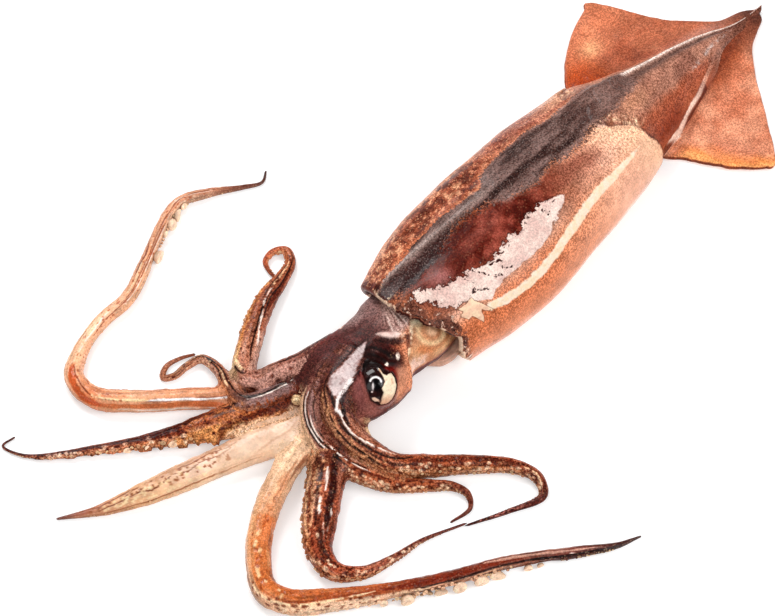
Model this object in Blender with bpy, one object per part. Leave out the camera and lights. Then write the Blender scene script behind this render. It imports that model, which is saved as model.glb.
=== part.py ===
"""Whole raw squid, lying belly down with its arms spread in front of it.

Frame: +X runs from the head to the tail tip, +Y to the squid's right, +Z up.
The origin is the middle of the footprint, on the surface that it lies on.
All named sizes are in millimetres and are turned into metres by S.

Pieces: the mantle (barrel, tail cone and both fins in one piece of flesh),
the head with its neck, two eyes, the funnel, eight arms and two tentacles.
Neighbouring pieces keep GAP between them.
"""
import math

import bmesh
import bpy
import numpy as np

# ---------------------------------------------------------------- named sizes
S = 0.001            # millimetres to metres
GAP = 0.36           # space kept between two pieces that touch
ORIGIN = (38.5, -22.0)   # middle of the footprint, in the layout below

# mantle
AXIS_Y = -18.0       # the mantle's long axis
COLLAR_X = -6.0      # front rim, at the sides
SHOULDER_X = 143.0   # where the barrel ends and the tail cone begins
TAIL_X = 245.0       # tail tip
RIM_SKEW = 8.0       # the dorsal lobe stands this far in front of the sides
RIM_TURN = 2.5       # and the right side this far in front of the middle
RIM_NOTCH = 5.2      # the torn rim is this far back between the ridge and the left side
WALL = 3.2           # thickness of the mantle wall at the collar
RECESS = 17.0        # depth of the opening that the neck enters
# stations along X: half width, height
HALF_WIDTH = [(-9, 26.8), (0, 29.2), (12, 32.5), (25, 34.4), (45, 35.4), (70, 34), (95, 32.2),
              (118, 28.7), (134, 24.8), (143, 21.8), (160, 19), (180, 15), (198, 11), (214, 7.4),
              (224, 4.9), (232, 3.5), (240, 2.2), (245, 1.1)]
HEIGHT = [(-9, 34.5), (5, 38), (25, 41), (50, 42.5), (80, 41.5), (105, 39), (125, 36),
          (143, 31), (168, 24.5), (195, 17.5), (214, 10), (226, 5.6), (234, 3.9), (241, 2.9), (245, 2.4)]
# how far the back leans to +Y over the belly
RIDGE_SHIFT = [(-9, 3.2), (50, 5.5), (100, 7), (143, 11), (170, 9), (200, 5), (245, 0)]
# the mantle bows this far to its right (+) or left (-) of its axis
BOW = [(-9, -2.9), (0, -1.9), (10, -1), (25, -1.3), (50, -1.7), (70, -1.2), (90, -0.2), (110, -0.3), (143, 0),
       (205, 0), (222, -0.6), (235, -0.9), (245, -0.5)]

# fins: distance from the axis against the leading and trailing edge
FIN_THICK = 2.6
LEFT_FIN = dict(side=-1, reach=62.0,
                lead=[(0, 136), (19, 143), (31, 151), (44, 158), (53, 164), (60, 171)],
                trail=[(0, 244), (5, 241), (8, 233.5), (12, 224.3), (19, 216), (32, 204), (45, 192.5), (61, 178)])
RIGHT_FIN = dict(side=1, reach=63.0,
                 lead=[(0, 134), (22, 138), (36, 144), (45, 153), (51, 162), (57, 174), (61, 187)],
                 trail=[(0, 244), (5, 238), (9, 226), (15, 219), (26, 211), (39, 203.5), (50, 199), (62, 193)])

# head, along X from the neck (inside the collar) to the crown of the arms:
# x, middle y, half width, top z, bottom z
HEAD = [(6, -19, 18.5, 26.5, 3), (-8, -18.8, 20.2, 29, 2), (-16, -18.3, 18.9, 29.5, 1), (-22, -18.2, 17.9, 29, 0),
        (-30, -19.8, 20.6, 28.8, 0), (-38, -19.2, 21.5, 29, 0), (-46, -17.6, 21.2, 28.5, 0), (-54, -16, 19.4, 26, 0),
        (-60, -14.8, 15.5, 22.5, 1.5), (-64, -14.4, 9, 18, 4)]

EYE_RADIUS = 10.0
LEFT_EYE = (-40.5, -30.0, 19.0)
RIGHT_EYE = (-40.5, -6.2, 11.2)

FUNNEL = dict(route=[(5, -34, 5.6), (0, -35.6, 5), (-5, -35, 4.4), (-10.5, -31, 3.6)],
              width=[(0, 10), (0.5, 9), (1, 5)], flat=0.86)

# Arms and tentacles. route: points that the middle of the limb passes through;
# width: part of the length against the limb's width; flat: height over width.
LIMBS = {
    # bends sharply up and back beside the head, and ends in an open loop
    "arm_1": dict(flat=0.95, rings=34,
        route=[(-40, -6, 19), (-53, 1, 15.5), (-62, 7, 12.5), (-69, 11, 10), (-71, 17, 8), (-66, 23, 6),
               (-49.5, 33.5, 5), (-36, 40, 4.3), (-22, 43.5, 3), (-12.5, 47, 2.3), (-9, 53, 2), (-13.5, 57, 1.8),
               (-19.5, 56, 1.5), (-22, 50.5, 1.3), (-22.5, 46, 1.2)],
        width=[(0, 12), (0.25, 11), (0.45, 10.6), (0.6, 9.4), (0.72, 6.2), (0.82, 4), (1, 1.3)]),
    # thin strand outside it, over the tentacle, ending in a second small loop
    "arm_2": dict(flat=0.95, rings=32,
        route=[(-44, -14, 20), (-54, -8, 15.5), (-65, -1, 12.5), (-75, 4, 12), (-81, 10, 11.5), (-79, 20, 8.5),
               (-74, 31, 4), (-74.5, 41, 2.4), (-81.5, 43.5, 1.7), (-88, 44, 1.4), (-92, 47, 1.3), (-87, 50, 1.1),
               (-80, 48.5, 1), (-74.5, 45.5, 0.9)],
        width=[(0, 7.5), (0.3, 6.3), (0.58, 5.4), (0.7, 3.7), (0.82, 2.9), (1, 1.2)]),
    # broad at the root, long thin lash with a hooked tip
    "arm_3": dict(flat=0.8, rings=32,
        route=[(-50, -14, 13), (-63, -8, 11), (-74, -1, 8), (-84, 5, 6.5), (-94, 12, 5.5), (-107, 21, 3.9),
               (-120, 30, 2.9), (-135, 42, 2.1), (-150, 54, 1.6), (-158.5, 64, 1.1), (-161, 73.5, 0.8), (-155, 73, 0.7)],
        width=[(0, 14), (0.3, 14.2), (0.38, 12.5), (0.46, 8.8), (0.6, 5.2), (0.78, 3.2), (0.9, 1.4), (1, 0.9)]),
    # flat, pointed
    "arm_4": dict(flat=0.62, rings=20,
        route=[(-54, -20, 9.5), (-64, -17.8, 8), (-77, -13.6, 6), (-89.5, -7, 4.6), (-106, -0.4, 3.9), (-122, 6.1, 3.4),
               (-138.5, 13.1, 2.4), (-154.5, 21, 1.4), (-169, 31.3, 0.8)],
        width=[(0, 15), (0.25, 16), (0.4, 13.5), (0.62, 12), (0.78, 8), (0.9, 3.6), (1, 1)]),
    # thick at first, curls under and back towards the mantle
    "arm_5": dict(flat=0.8, rings=28,
        route=[(-56, -22, 9), (-69.8, -31.2, 7.5), (-82.8, -40.8, 6.5), (-98.6, -52, 6.3), (-107.6, -60.8, 5.3),
               (-109.8, -70.5, 4.3), (-102.6, -79.4, 3.3), (-88.6, -84.4, 2.4), (-74, -87.4, 1.3), (-57, -95, 0.9)],
        width=[(0, 13), (0.2, 16.5), (0.36, 15), (0.5, 10.5), (0.62, 6.4), (0.76, 3.4), (0.88, 1.7), (1, 1.0)]),
    # outer band over the crown
    "arm_6": dict(flat=0.95, rings=30,
        route=[(-46, -11, 22), (-58, -13, 20.5), (-66.5, -17, 17), (-71.5, -24, 12.5), (-73, -34, 8.5), (-71.5, -46, 6.2),
               (-65.5, -60, 4.3), (-54, -73, 2.9), (-47.5, -80.3, 2.3), (-45.8, -87, 1.8), (-50, -92.2, 1.3), (-60, -90.5, 0.9)],
        width=[(0, 9), (0.38, 8.8), (0.55, 7.4), (0.7, 5.6), (0.82, 3.8), (0.9, 2.2), (1, 0.9)]),
    # runs over the top of the head, down and round in a wide hook
    "arm_7": dict(flat=0.95, rings=36,
        route=[(-38, -16, 24.5), (-48, -17.5, 24.5), (-56, -20, 23), (-60.5, -26, 19), (-63, -34, 14), (-62, -45, 10),
               (-58, -57.5, 6.5), (-47.6, -67.6, 5), (-33.6, -81.2, 4.1), (-23, -94, 3.2), (-20.5, -104, 2.6), (-25.5, -111, 2),
               (-40, -105, 1.2), (-56, -96.5, 0.8)],
        width=[(0, 11), (0.25, 11.6), (0.4, 10.6), (0.52, 8.8), (0.64, 7), (0.74, 5), (0.84, 2.7), (1, 1.0)]),
    # short, tucked in beside the last one
    "arm_8": dict(flat=0.85, rings=14,
        route=[(-42, -22, 17), (-49, -26, 15), (-54.5, -31, 10), (-57.5, -38, 6), (-57.5, -46, 3.6), (-54, -54.5, 1.8)],
        width=[(0, 9), (0.5, 8.4), (0.75, 6), (1, 1.6)]),
    # long feeding tentacle on the right, hooked at its tip
    "tentacle_1": dict(flat=0.95, rings=44,
        route=[(-54, -4, 7), (-64, 3, 5.2), (-74, 11, 4.4), (-93, 30, 4.3), (-110, 47, 4.3), (-119.5, 60, 4.2),
               (-118.5, 74, 4), (-107.5, 82, 3.4), (-91.5, 86.5, 2.8), (-74, 87, 2.9), (-58.4, 93.2, 2.8), (-44, 99.8, 2.7),
               (-30.5, 105.5, 2.5), (-21.5, 106.5, 2.3), (-9, 100.5, 1.6), (3, 92, 1.1), (11, 87.5, 0.9), (16.5, 90.5, 0.8)],
        width=[(0, 9), (0.32, 9.6), (0.42, 8.6), (0.5, 6.3), (0.58, 6.5), (0.74, 6), (0.85, 5), (0.92, 2.8), (1, 0.9)]),
    # long feeding tentacle on the left, sweeping round in front
    "tentacle_2": dict(flat=0.95, rings=48,
        route=[(-56, -18, 9), (-70, -21, 6.5), (-84, -23, 5.8), (-98, -27, 5.2), (-113.5, -34, 5), (-127.5, -45, 5),
               (-135, -57, 5), (-131.8, -67.2, 4.7), (-119.5, -79, 4.2), (-98, -96, 3.7), (-77, -110, 3.1), (-61, -119, 2.5),
               (-46, -130, 2.4), (-33, -140, 2), (-22, -148, 1.3), (-12, -152.5, 0.7)],
        width=[(0, 11), (0.1, 12), (0.3, 10.6), (0.42, 10.4), (0.56, 7.8), (0.7, 7), (0.82, 5.8), (0.92, 4), (1, 0.8)]),
}

# a piece further down the list makes room for those above it
ORDER = ["arm_7", "arm_6", "arm_8", "tentacle_1", "arm_5", "tentacle_2", "arm_1", "arm_2", "arm_3", "arm_4"]

# colour, roughness of the wet skin of each piece
SKIN = {
    "mantle": ((0.46, 0.25, 0.20), 0.30), "head": ((0.24, 0.13, 0.11), 0.28),
    "eye": ((0.10, 0.02, 0.015), 0.12), "funnel": ((0.75, 0.48, 0.40), 0.35),
    "arm_1": ((0.30, 0.11, 0.09), 0.30), "arm_2": ((0.36, 0.15, 0.11), 0.30),
    "arm_3": ((0.50, 0.20, 0.11), 0.35), "arm_4": ((0.80, 0.55, 0.42), 0.35),
    "arm_5": ((0.26, 0.11, 0.07), 0.32), "arm_6": ((0.33, 0.15, 0.10), 0.30),
    "arm_7": ((0.37, 0.15, 0.09), 0.28), "arm_8": ((0.62, 0.40, 0.30), 0.30),
    "tentacle_1": ((0.72, 0.40, 0.26), 0.35), "tentacle_2": ((0.62, 0.32, 0.18), 0.35),
}


# ---------------------------------------------------------------- small tools
def lookup(table, t):
    """Smooth curve (monotone cubic) through a table of (position, value)."""
    xs = [a for a, _ in table]
    ys = [b for _, b in table]
    if t <= xs[0]:
        return ys[0]
    if t >= xs[-1]:
        return ys[-1]
    n = len(xs)
    slope = [(ys[i + 1] - ys[i]) / (xs[i + 1] - xs[i]) for i in range(n - 1)]
    tang = [slope[0]] + [0.0] * (n - 2) + [slope[-1]]
    for i in range(1, n - 1):
        if slope[i - 1] * slope[i] > 0:
            tang[i] = 2 * slope[i - 1] * slope[i] / (slope[i - 1] + slope[i])
    for i in range(n - 1):
        if xs[i] <= t <= xs[i + 1]:
            h = xs[i + 1] - xs[i]
            u = (t - xs[i]) / h
            return ((2 * u**3 - 3 * u**2 + 1) * ys[i] + (u**3 - 2 * u**2 + u) * h * tang[i]
                    + (-2 * u**3 + 3 * u**2) * ys[i + 1] + (u**3 - u**2) * h * tang[i + 1])
    return ys[-1]


def smooth_route(points, count=400):
    """Centripetal curve through the route's points, as count points with their arc lengths."""
    p = np.array(points, float)
    p = np.vstack([2 * p[0] - p[1], p, 2 * p[-1] - p[-2]])
    out = []
    for i in range(1, len(p) - 2):
        a, b, c, d = p[i - 1:i + 3]
        t0 = 0.0
        t1 = t0 + np.linalg.norm(b - a) ** 0.5
        t2 = t1 + np.linalg.norm(c - b) ** 0.5
        t3 = t2 + np.linalg.norm(d - c) ** 0.5
        for t in np.linspace(t1, t2, 24, endpoint=False):
            a1 = (t1 - t) / (t1 - t0) * a + (t - t0) / (t1 - t0) * b
            a2 = (t2 - t) / (t2 - t1) * b + (t - t1) / (t2 - t1) * c
            a3 = (t3 - t) / (t3 - t2) * c + (t - t2) / (t3 - t2) * d
            b1 = (t2 - t) / (t2 - t0) * a1 + (t - t0) / (t2 - t0) * a2
            b2 = (t3 - t) / (t3 - t1) * a2 + (t - t1) / (t3 - t1) * a3
            out.append((t2 - t) / (t2 - t1) * b1 + (t - t1) / (t2 - t1) * b2)
    out.append(p[-2])
    out = np.array(out)
    arc = np.concatenate([[0], np.cumsum(np.linalg.norm(np.diff(out, axis=0), axis=1))])
    even = np.linspace(0, arc[-1], count)
    return np.stack([np.interp(even, arc, out[:, k]) for k in range(3)], axis=1), even


def ring_places(points, arc, count):
    """Where count rings go along a route: closer together where it bends."""
    tangent = np.gradient(points, arc, axis=0)
    tangent /= np.linalg.norm(tangent, axis=1)[:, None]
    bend = np.linalg.norm(np.gradient(tangent, arc, axis=0), axis=1)
    weight = np.cumsum(1 + 9 * np.minimum(bend, 0.35))
    weight = (weight - weight[0]) / (weight[-1] - weight[0])
    return np.interp(np.linspace(0, 1, count), weight, arc)


def make_object(name, verts, faces, kind):
    """A closed mesh, in metres, with the named piece's wet skin."""
    mesh = bpy.data.meshes.new(name)
    mesh.from_pydata([((x - ORIGIN[0]) * S, (y - ORIGIN[1]) * S, z * S) for x, y, z in verts], [], faces)
    bm = bmesh.new()
    bm.from_mesh(mesh)
    bmesh.ops.recalc_face_normals(bm, faces=bm.faces)
    bm.to_mesh(mesh)
    bm.free()
    mesh.shade_smooth()
    colour, rough = SKIN[kind]
    mat = bpy.data.materials.get("skin_" + kind) or bpy.data.materials.new("skin_" + kind)
    mat.use_nodes = True
    bsdf = mat.node_tree.nodes["Principled BSDF"]
    bsdf.inputs["Base Color"].default_value = (*colour, 1)
    bsdf.inputs["Roughness"].default_value = rough
    bsdf.inputs["Metallic"].default_value = 0.0
    mesh.materials.append(mat)
    obj = bpy.data.objects.new(name, mesh)
    bpy.context.scene.collection.objects.link(obj)
    return obj


def loft(rings, start=None, end=None):
    """Faces through rings of the same number of points, closed by a fan or a cap at each end."""
    verts = [tuple(p) for ring in rings for p in ring]
    n = len(rings[0])
    faces = []
    for r in range(len(rings) - 1):
        for i in range(n):
            j = (i + 1) % n
            faces.append((r * n + i, r * n + j, (r + 1) * n + j, (r + 1) * n + i))
    if start is None:
        faces.append(tuple(range(n - 1, -1, -1)))
    else:
        verts.append(tuple(start))
        faces += [(len(verts) - 1, (i + 1) % n, i) for i in range(n)]
    last = (len(rings) - 1) * n
    if end is None:
        faces.append(tuple(last + i for i in range(n)))
    else:
        verts.append(tuple(end))
        faces += [(len(verts) - 1, last + i, last + (i + 1) % n) for i in range(n)]
    return verts, faces


def guide(obj):
    """Marks an object that only cuts or adds to another."""
    obj.hide_render = True
    obj.display_type = "WIRE"
    return obj


def combine(obj, other, how):
    mod = obj.modifiers.new(how.lower() + "_" + other.name, "BOOLEAN")
    mod.operation = how
    mod.solver = "EXACT"
    mod.object = other


# ---------------------------------------------------------------- limbs
def limb(name, spec, sides=8, grow=0.0, kind=None):
    """A tapering limb along its route, flattened where it lies on the surface."""
    points, arc = smooth_route(spec["route"])
    places = ring_places(points, arc, spec.get("rings", 12))
    rings = []
    for s in places:
        c = np.array([np.interp(s, arc, points[:, k]) for k in range(3)])
        ahead = np.array([np.interp(min(s + 1.5, arc[-1]), arc, points[:, k]) for k in range(3)])
        behind = np.array([np.interp(max(s - 1.5, 0), arc, points[:, k]) for k in range(3)])
        t = ahead - behind
        t /= np.linalg.norm(t)
        side = np.cross((0, 0, 1), t)
        side /= np.linalg.norm(side)
        up = np.cross(t, side)
        half = lookup(spec["width"], s / arc[-1]) / 2 + grow
        tall = half * spec["flat"]
        ring = []
        for i in range(sides):
            a = 2 * math.pi * (i + 0.5) / sides
            p = c + side * (half * math.cos(a)) + up * (tall * math.sin(a))
            ring.append((p[0], p[1], max(p[2], -grow)))
        rings.append(ring)
    tip = points[-1] + (points[-1] - points[-4]) / np.linalg.norm(points[-1] - points[-4]) * (0.6 + grow)
    verts, faces = loft(rings, None, (tip[0], tip[1], max(tip[2], 0.3)))
    return make_object(name, verts, faces, kind or name)


# ---------------------------------------------------------------- head
def head(name, grow=0.0, sides=18, steps=17):
    """Neck, cheeks and crown as one form, widest at the eyes."""
    xs = [h[0] for h in HEAD]
    first, last = xs[0], xs[-1]
    tables = [[(-h[0], h[k]) for h in HEAD] for k in range(1, 5)]
    rings = []
    for r in range(steps):
        x = first + (last - first) * r / (steps - 1)
        y, half, top, bottom = (lookup(t, -x) for t in tables)
        mid, tall = (top + bottom) / 2, (top - bottom) / 2
        ring = []
        for i in range(sides):
            a = 2 * math.pi * i / sides
            ca, sa = math.cos(a), math.sin(a)
            blunt = 1 / (abs(ca) ** 2.3 + abs(sa) ** 2.3) ** (1 / 2.3)
            ring.append((x + (grow if not r else 0), y + (half + grow) * ca * blunt,
                         max(mid + (tall + grow) * sa * blunt, -grow)))
        rings.append(ring)
    y, half, top, bottom = (lookup(t, -last) for t in tables)
    verts, faces = loft(rings, None, (last - 2.5 - grow, y, (top + bottom) / 2))
    return make_object(name, verts, faces, "head")


def eye(name, place, grow=0.0):
    mesh = bpy.data.meshes.new(name)
    bm = bmesh.new()
    bmesh.ops.create_uvsphere(bm, u_segments=14, v_segments=9, radius=(EYE_RADIUS + grow) * S)
    bm.to_mesh(mesh)
    bm.free()
    mesh.shade_smooth()
    obj = make_object(name, [(0, 0, 0)], [], "eye")
    mat = obj.data.materials[0]
    obj.data = mesh
    mesh.materials.append(mat)
    obj.location = ((place[0] - ORIGIN[0]) * S, (place[1] - ORIGIN[1]) * S, place[2] * S)
    return obj


# ---------------------------------------------------------------- mantle
def mantle_ring(x, sides=24, inset=0.0, lip=0.0):
    """Cross-section of the mantle at x: flat below, round above, its ridge leaning to +Y."""
    half = lookup(HALF_WIDTH, x) - inset
    top = lookup(HEIGHT, x) - inset
    lean = lookup(RIDGE_SHIFT, x)
    low = inset * 0.7
    cone = min(1, max(0, (x - 128) / 34))        # barrel 0, tail cone 1
    ring = []
    for i in range(sides):
        a = 2 * math.pi * (i + 0.5) / sides
        ca, sa = math.cos(a), math.sin(a)
        power = 2.25 - 0.75 * cone * (sa > 0)
        blunt = 1 / (abs(ca) ** power + abs(sa) ** power) ** (1 / power)
        z = low + (top - low) * (0.42 + (0.58 if sa > 0 else 0.52) * sa * blunt)
        z = max(z, low)
        rise = z / max(top, 0.1)
        y = AXIS_Y + lookup(BOW, x) + half * ca * blunt + lean * (rise - 0.42)
        fade = math.exp(-max(0, x - COLLAR_X) / 20)
        torn = RIM_NOTCH * math.exp(-((a - 2.44) / 0.56) ** 2) + 1.3 * math.exp(-((a - 0.9) / 0.5) ** 2)
        dx = (torn - RIM_SKEW * (rise - 0.5) * 2 - RIM_TURN * ca) * fade
        ring.append((x + dx + lip, y, z))
    return ring


def mantle():
    rings = []
    # inside of the opening, from its floor out to the rim, then the outside back to the tail
    for depth in (RECESS, RECESS * 0.55, 3.0):
        ring = mantle_ring(COLLAR_X + depth, inset=WALL)
        shift = COLLAR_X + RECESS if depth == RECESS else None
        rings.append([(shift if shift is not None else p[0], p[1], p[2]) for p in ring])
    rings.append(mantle_ring(COLLAR_X, inset=WALL * 0.75, lip=0.0))
    rings.append(mantle_ring(COLLAR_X, inset=WALL * 0.2, lip=-0.6))
    xs = [COLLAR_X + 1.2] + [COLLAR_X + 10 + (TAIL_X - COLLAR_X - 10) * k / 21 for k in range(22)]
    for x in xs:
        rings.append(mantle_ring(x))
    verts, faces = loft(rings, (COLLAR_X + RECESS, AXIS_Y, 18), (TAIL_X + 1.5, AXIS_Y - 0.5, 1.6))
    return make_object("mantle", verts, faces, "mantle")


def fin(name, spec, steps=15):
    """One fin: a thin plate from the axis out to its tip, with rounded edges."""
    rings = []
    side, reach = spec["side"], spec["reach"]
    for k in range(steps):
        d = reach * (1 - (1 - k / (steps - 1)) ** 1.25)
        x0, x1 = lookup(spec["lead"], d), lookup(spec["trail"], d)
        if d > reach - 3:                       # the corner is rounded
            cut = 3 - math.sqrt(max(0, 9 - (d - reach + 3) ** 2))
            x0, x1 = x0 + cut, x1 - cut
        if x1 - x0 < 2:
            m = (x0 + x1) / 2
            x0, x1 = m - 1, m + 1
        thick = FIN_THICK * (1 + 1.4 * max(0, 1 - d / 26)) * (0.55 + 0.45 * min(1, (reach - d) / 12 + 0.2))
        wave = 0.5 + 0.5 * math.sin(d * 0.11 + (0.4 if side > 0 else 1.4))
        low = 0.25 + 0.9 * wave * min(1, max(0, (d - 24) / 20))
        y = AXIS_Y + side * d
        ring = []
        edge = min(1.0, (x1 - x0) / 4)
        for u, w in ((0, 0.5), (edge, 1), (0.25, 1.15), (0.5, 1.2), (0.75, 1.15), (-edge, 1), (1, 0.5),
                     (-edge, 0), (0.66, 0), (0.33, 0), (edge, 0)):
            if u == edge:
                x = x0 + edge
            elif u == -edge:
                x = x1 - edge
            else:
                x = x0 + (x1 - x0) * u
            if u in (0.25, 0.33):
                x = max(x, x0 + edge * 1.3)
            if u in (0.75, 0.66):
                x = min(x, x1 - edge * 1.3)
            ring.append((x, y, low + thick * w))
        rings.append(ring)
    verts, faces = loft(rings)
    return guide(make_object(name, verts, faces, "mantle"))


# ---------------------------------------------------------------- the squid
def build():
    for obj in list(bpy.data.objects):
        bpy.data.objects.remove(obj, do_unlink=True)

    body = mantle()
    for name, spec in (("fin_left", LEFT_FIN), ("fin_right", RIGHT_FIN)):
        combine(body, fin(name, spec), "UNION")

    skull = head("head")
    for name, place in (("eye_left", LEFT_EYE), ("eye_right", RIGHT_EYE)):
        eye(name, place)
        combine(skull, guide(eye("socket_" + name, place, GAP)), "DIFFERENCE")
    limb("funnel", FUNNEL, sides=8)
    room = guide(limb("room_funnel", FUNNEL, sides=8, grow=GAP, kind="funnel"))
    combine(skull, room, "DIFFERENCE")
    combine(body, room, "DIFFERENCE")

    around_head = guide(head("room_head", GAP))
    around_eyes = [guide(eye("room_eye_" + n, p, GAP)) for n, p in (("left", LEFT_EYE), ("right", RIGHT_EYE))]
    rooms = []
    for name in ORDER:
        piece = limb(name, LIMBS[name])
        combine(piece, around_head, "DIFFERENCE")
        for other in around_eyes + rooms:
            if boxes_meet(piece, other):
                combine(piece, other, "DIFFERENCE")
        rooms.append(guide(limb("room_" + name, LIMBS[name], grow=GAP, kind=name)))


def boxes_meet(one, two):
    """Whether the boxes of two pieces touch."""
    a = np.array([v.co[:] for v in one.data.vertices]) + np.array(one.location)
    b = np.array([v.co[:] for v in two.data.vertices]) + np.array(two.location)
    return bool(np.all(a.min(0) <= b.max(0)) and np.all(b.min(0) <= a.max(0)))


build()
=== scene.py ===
"""Looks of a whole raw squid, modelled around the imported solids. Layout in millimetres, as in the construction."""
import math

import bpy
import numpy as np
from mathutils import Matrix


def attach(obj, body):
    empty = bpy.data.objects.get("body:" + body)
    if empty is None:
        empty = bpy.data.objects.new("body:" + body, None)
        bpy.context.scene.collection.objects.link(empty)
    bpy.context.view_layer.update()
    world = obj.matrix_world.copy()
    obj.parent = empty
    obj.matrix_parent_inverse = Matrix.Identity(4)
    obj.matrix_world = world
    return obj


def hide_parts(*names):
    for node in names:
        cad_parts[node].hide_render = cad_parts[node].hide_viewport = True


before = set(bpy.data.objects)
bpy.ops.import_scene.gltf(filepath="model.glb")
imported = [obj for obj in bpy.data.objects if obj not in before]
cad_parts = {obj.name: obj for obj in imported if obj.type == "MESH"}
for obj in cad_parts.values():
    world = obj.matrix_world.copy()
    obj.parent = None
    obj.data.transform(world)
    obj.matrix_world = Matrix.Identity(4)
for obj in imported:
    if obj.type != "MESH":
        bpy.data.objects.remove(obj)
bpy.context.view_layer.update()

S = 0.001
ORIGIN = np.array((38.5, -22.0, 0.0))

# ------------------------------------------------------------------ camera
ELEVATION, HEADING, DISTANCE, LENS = 58.0, 47.6, 0.967, 102.0


def place_camera():
    e, h = math.radians(ELEVATION), math.radians(HEADING)
    look = np.array((math.sin(h) * math.cos(e), math.cos(h) * math.cos(e), -math.sin(e)))
    target = -ORIGIN * S
    cam = bpy.data.cameras.new("camera")
    cam.lens, cam.sensor_width = LENS, 36.0
    cam.clip_start, cam.clip_end = 0.05, 20.0
    obj = bpy.data.objects.new("camera", cam)
    bpy.context.scene.collection.objects.link(obj)
    obj.location = tuple(target - look * DISTANCE)
    obj.rotation_euler = (math.radians(90 - ELEVATION), 0.0, -h)
    bpy.context.scene.camera = obj


place_camera()

# ------------------------------------------------------------------ sizes shared with the solids
AXIS_Y = -18.0
COLLAR_X, TAIL_X = -6.0, 245.0
RIM_SKEW, RIM_TURN, RIM_NOTCH, WALL, RECESS = 8.0, 2.5, 5.2, 3.2, 17.0
HALF_WIDTH = [(-9, 26.8), (0, 29.2), (12, 32.5), (25, 34.4), (45, 35.4), (70, 34), (95, 32.2),
              (118, 28.7), (134, 24.8), (143, 21.8), (160, 19), (180, 15), (198, 11), (214, 7.4),
              (224, 4.9), (232, 3.5), (240, 2.2), (245, 1.1)]
HEIGHT = [(-9, 34.5), (5, 38), (25, 41), (50, 42.5), (80, 41.5), (105, 39), (125, 36),
          (143, 31), (168, 24.5), (195, 17.5), (214, 10), (226, 5.6), (234, 3.9), (241, 2.9), (245, 2.4)]
RIDGE_SHIFT = [(-9, 3.2), (50, 5.5), (100, 7), (143, 11), (170, 9), (200, 5), (245, 0)]
BOW = [(-9, -2.9), (0, -1.9), (10, -1), (25, -1.3), (50, -1.7), (70, -1.2), (90, -0.2), (110, -0.3), (143, 0),
       (205, 0), (222, -0.6), (235, -0.9), (245, -0.5)]
FIN_THICK = 2.6
LEFT_FIN = dict(side=-1, reach=62.0,
                lead=[(0, 136), (19, 143), (31, 151), (44, 158), (53, 164), (60, 171)],
                trail=[(0, 244), (5, 241), (8, 233.5), (12, 224.3), (19, 216), (32, 204), (45, 192.5), (61, 178)])
RIGHT_FIN = dict(side=1, reach=63.0,
                 lead=[(0, 134), (22, 138), (36, 144), (45, 153), (51, 162), (57, 174), (61, 187)],
                 trail=[(0, 244), (5, 238), (9, 226), (15, 219), (26, 211), (39, 203.5), (50, 199), (62, 193)])
HEAD = [(6, -19, 18.5, 26.5, 3), (-8, -18.8, 20.2, 29, 2), (-16, -18.3, 18.9, 29.5, 1), (-22, -18.2, 17.9, 29, 0),
        (-30, -19.8, 20.6, 28.8, 0), (-38, -19.2, 21.5, 29, 0), (-46, -17.6, 21.2, 28.5, 0), (-54, -16, 19.4, 26, 0),
        (-60, -14.8, 15.5, 22.5, 1.5), (-64, -14.4, 9, 18, 4)]
EYE_RADIUS = 10.0
LEFT_EYE = (-40.5, -30.0, 19.0)
RIGHT_EYE = (-40.5, -6.2, 11.2)
FUNNEL = dict(route=[(5, -34, 5.6), (0, -35.6, 5), (-5, -35, 4.4), (-10.5, -31, 3.6)],
              width=[(0, 10), (0.5, 9), (1, 5)], flat=0.86)
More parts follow.
